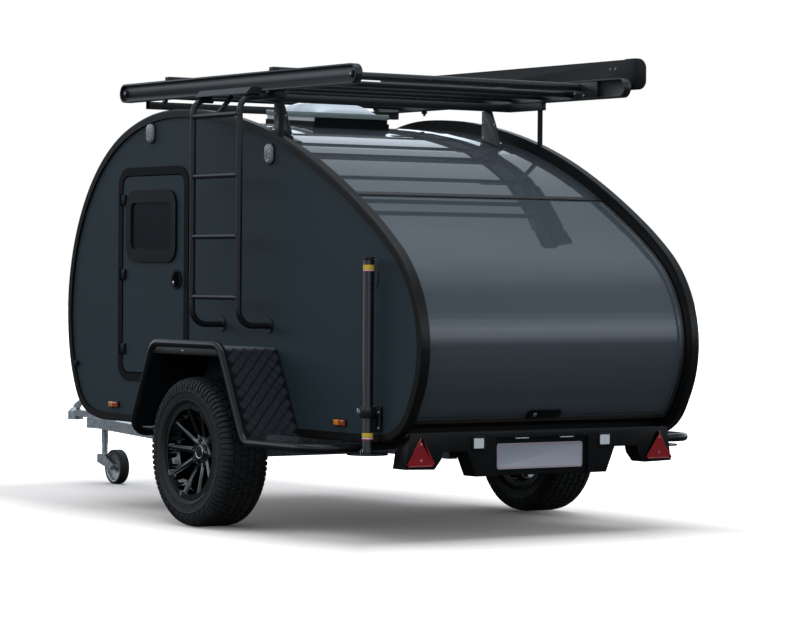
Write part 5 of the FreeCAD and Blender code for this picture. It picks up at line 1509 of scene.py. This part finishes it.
def floorPaper():
    paper = bpy.data.materials.new("paleFloor")
    paper.use_nodes = True
    tree = paper.node_tree
    shader = tree.nodes["Principled BSDF"]
    where = objectSpace(tree)
    speck = addRange(tree, addNoise(tree, where, 14.0, 4.0), 0.3, 0.7, 0.0, 1.0)
    seen = tree.nodes.new("ShaderNodeLightPath").outputs["Is Camera Ray"]
    pale = addMix(tree, speck, solid(studio["floorColour"]), (0.84, 0.75, 0.685, 1))
    # the camera sees the pale floor, every other ray a dark one: painted shade under and on the trailer
    tree.links.new(addMix(tree, seen, solid(studio["floorBounce"]), pale), shader.inputs["Base Color"])
    shader.inputs["Roughness"].default_value = 0.9
    shader.inputs["Specular IOR Level"].default_value = 0.05
    # away from the trailer the floor glows white to the camera only, painting out the outer shadow: painted light
    split = splitAxes(tree, where)
    fades = [addRange(tree, addMath(tree, "ABSOLUTE", split.outputs[k]), *reach, 0.0, 1.0)
             for k, reach in studio["fade"].items()]
    far = addMath(tree, "MAXIMUM", *fades)
    shader.inputs["Emission Color"].default_value = (1.0, 1.0, 1.0, 1.0)
    tree.links.new(times(tree, far, seen), shader.inputs["Emission Strength"])
    return paper


def makeStudio():
    deselectAll()
    bpy.ops.mesh.primitive_plane_add(size=studio["floorSize"])
    floor = newPiece("studioFloor")
    floor.data.materials.append(floorPaper())

    world = bpy.data.worlds.new("studioWorld")
    bpy.context.scene.world = world
    world.use_nodes = True
    tree = world.node_tree
    tree.nodes.clear()
    split = splitAxes(tree, tree.nodes.new("ShaderNodeTexCoord").outputs["Generated"])
    ramp = tree.nodes.new("ShaderNodeValToRGB")
    ramp.color_ramp.interpolation = "EASE"
    stops = ramp.color_ramp.elements
    while len(stops) < len(studio["dome"]):
        stops.new(0.5)
    for stop, (height, level) in zip(stops, studio["dome"]):
        stop.position = height
        stop.color = solid([channel * level for channel in studio["domeColour"]])
    tree.links.new(split.outputs["Z"], ramp.inputs["Fac"])
    soft = tree.nodes.new("ShaderNodeBackground")
    soft.inputs["Strength"].default_value = studio["domePeak"]
    tree.links.new(ramp.outputs["Color"], soft.inputs["Color"])
    white = tree.nodes.new("ShaderNodeBackground")
    white.inputs["Color"].default_value = (1.0, 1.0, 1.0, 1.0)
    white.inputs["Strength"].default_value = 1.0
    pick = tree.nodes.new("ShaderNodeMixShader")
    tree.links.new(tree.nodes.new("ShaderNodeLightPath").outputs["Is Camera Ray"], pick.inputs[0])
    tree.links.new(soft.outputs[0], pick.inputs[1])
    tree.links.new(white.outputs[0], pick.inputs[2])
    tree.links.new(pick.outputs[0], tree.nodes.new("ShaderNodeOutputWorld").inputs["Surface"])

    for name, (place, aim, width, depth, power) in studio["lamps"].items():
        deselectAll()
        bpy.ops.object.light_add(type="AREA", location=place)
        lamp = bpy.context.active_object
        lamp.name = name
        lamp.data.shape = "RECTANGLE"
        lamp.data.size, lamp.data.size_y = width, depth
        lamp.data.energy = power
        lamp.rotation_euler = (Vector(aim) - Vector(place)).to_track_quat("-Z", "Y").to_euler()
    bpy.context.scene.view_settings.view_transform = "Standard"


camera = dict(place=(-13.4456, 8.6351, 1.2412), yaw=-34.815, pitch=-0.888, roll=-0.436, lens=135.92)


def makeCamera():
    yaw, pitch, roll = (math.radians(camera[k]) for k in ("yaw", "pitch", "roll"))
    level = Vector((math.cos(yaw), math.sin(yaw), 0))
    right = Vector((math.sin(yaw), -math.cos(yaw), 0))
    ahead = level * math.cos(pitch) + Vector((0, 0, 1)) * math.sin(pitch)
    up = Vector((0, 0, 1)) * math.cos(pitch) - level * math.sin(pitch)
    tilted = right * math.cos(roll) - up * math.sin(roll)
    upright = up * math.cos(roll) + right * math.sin(roll)
    bpy.ops.object.camera_add(location=camera["place"])
    eye = bpy.context.active_object
    eye.name = "studioCamera"
    eye.matrix_world = Matrix.Translation(camera["place"]) @ Matrix((tilted, upright, -ahead)).transposed().to_4x4()
    eye.data.sensor_width = 36.0
    eye.data.lens = camera["lens"]
    eye.data.clip_end = 500.0
    bpy.context.scene.camera = eye


makeStudio()
makeCamera()
print("studio ready")
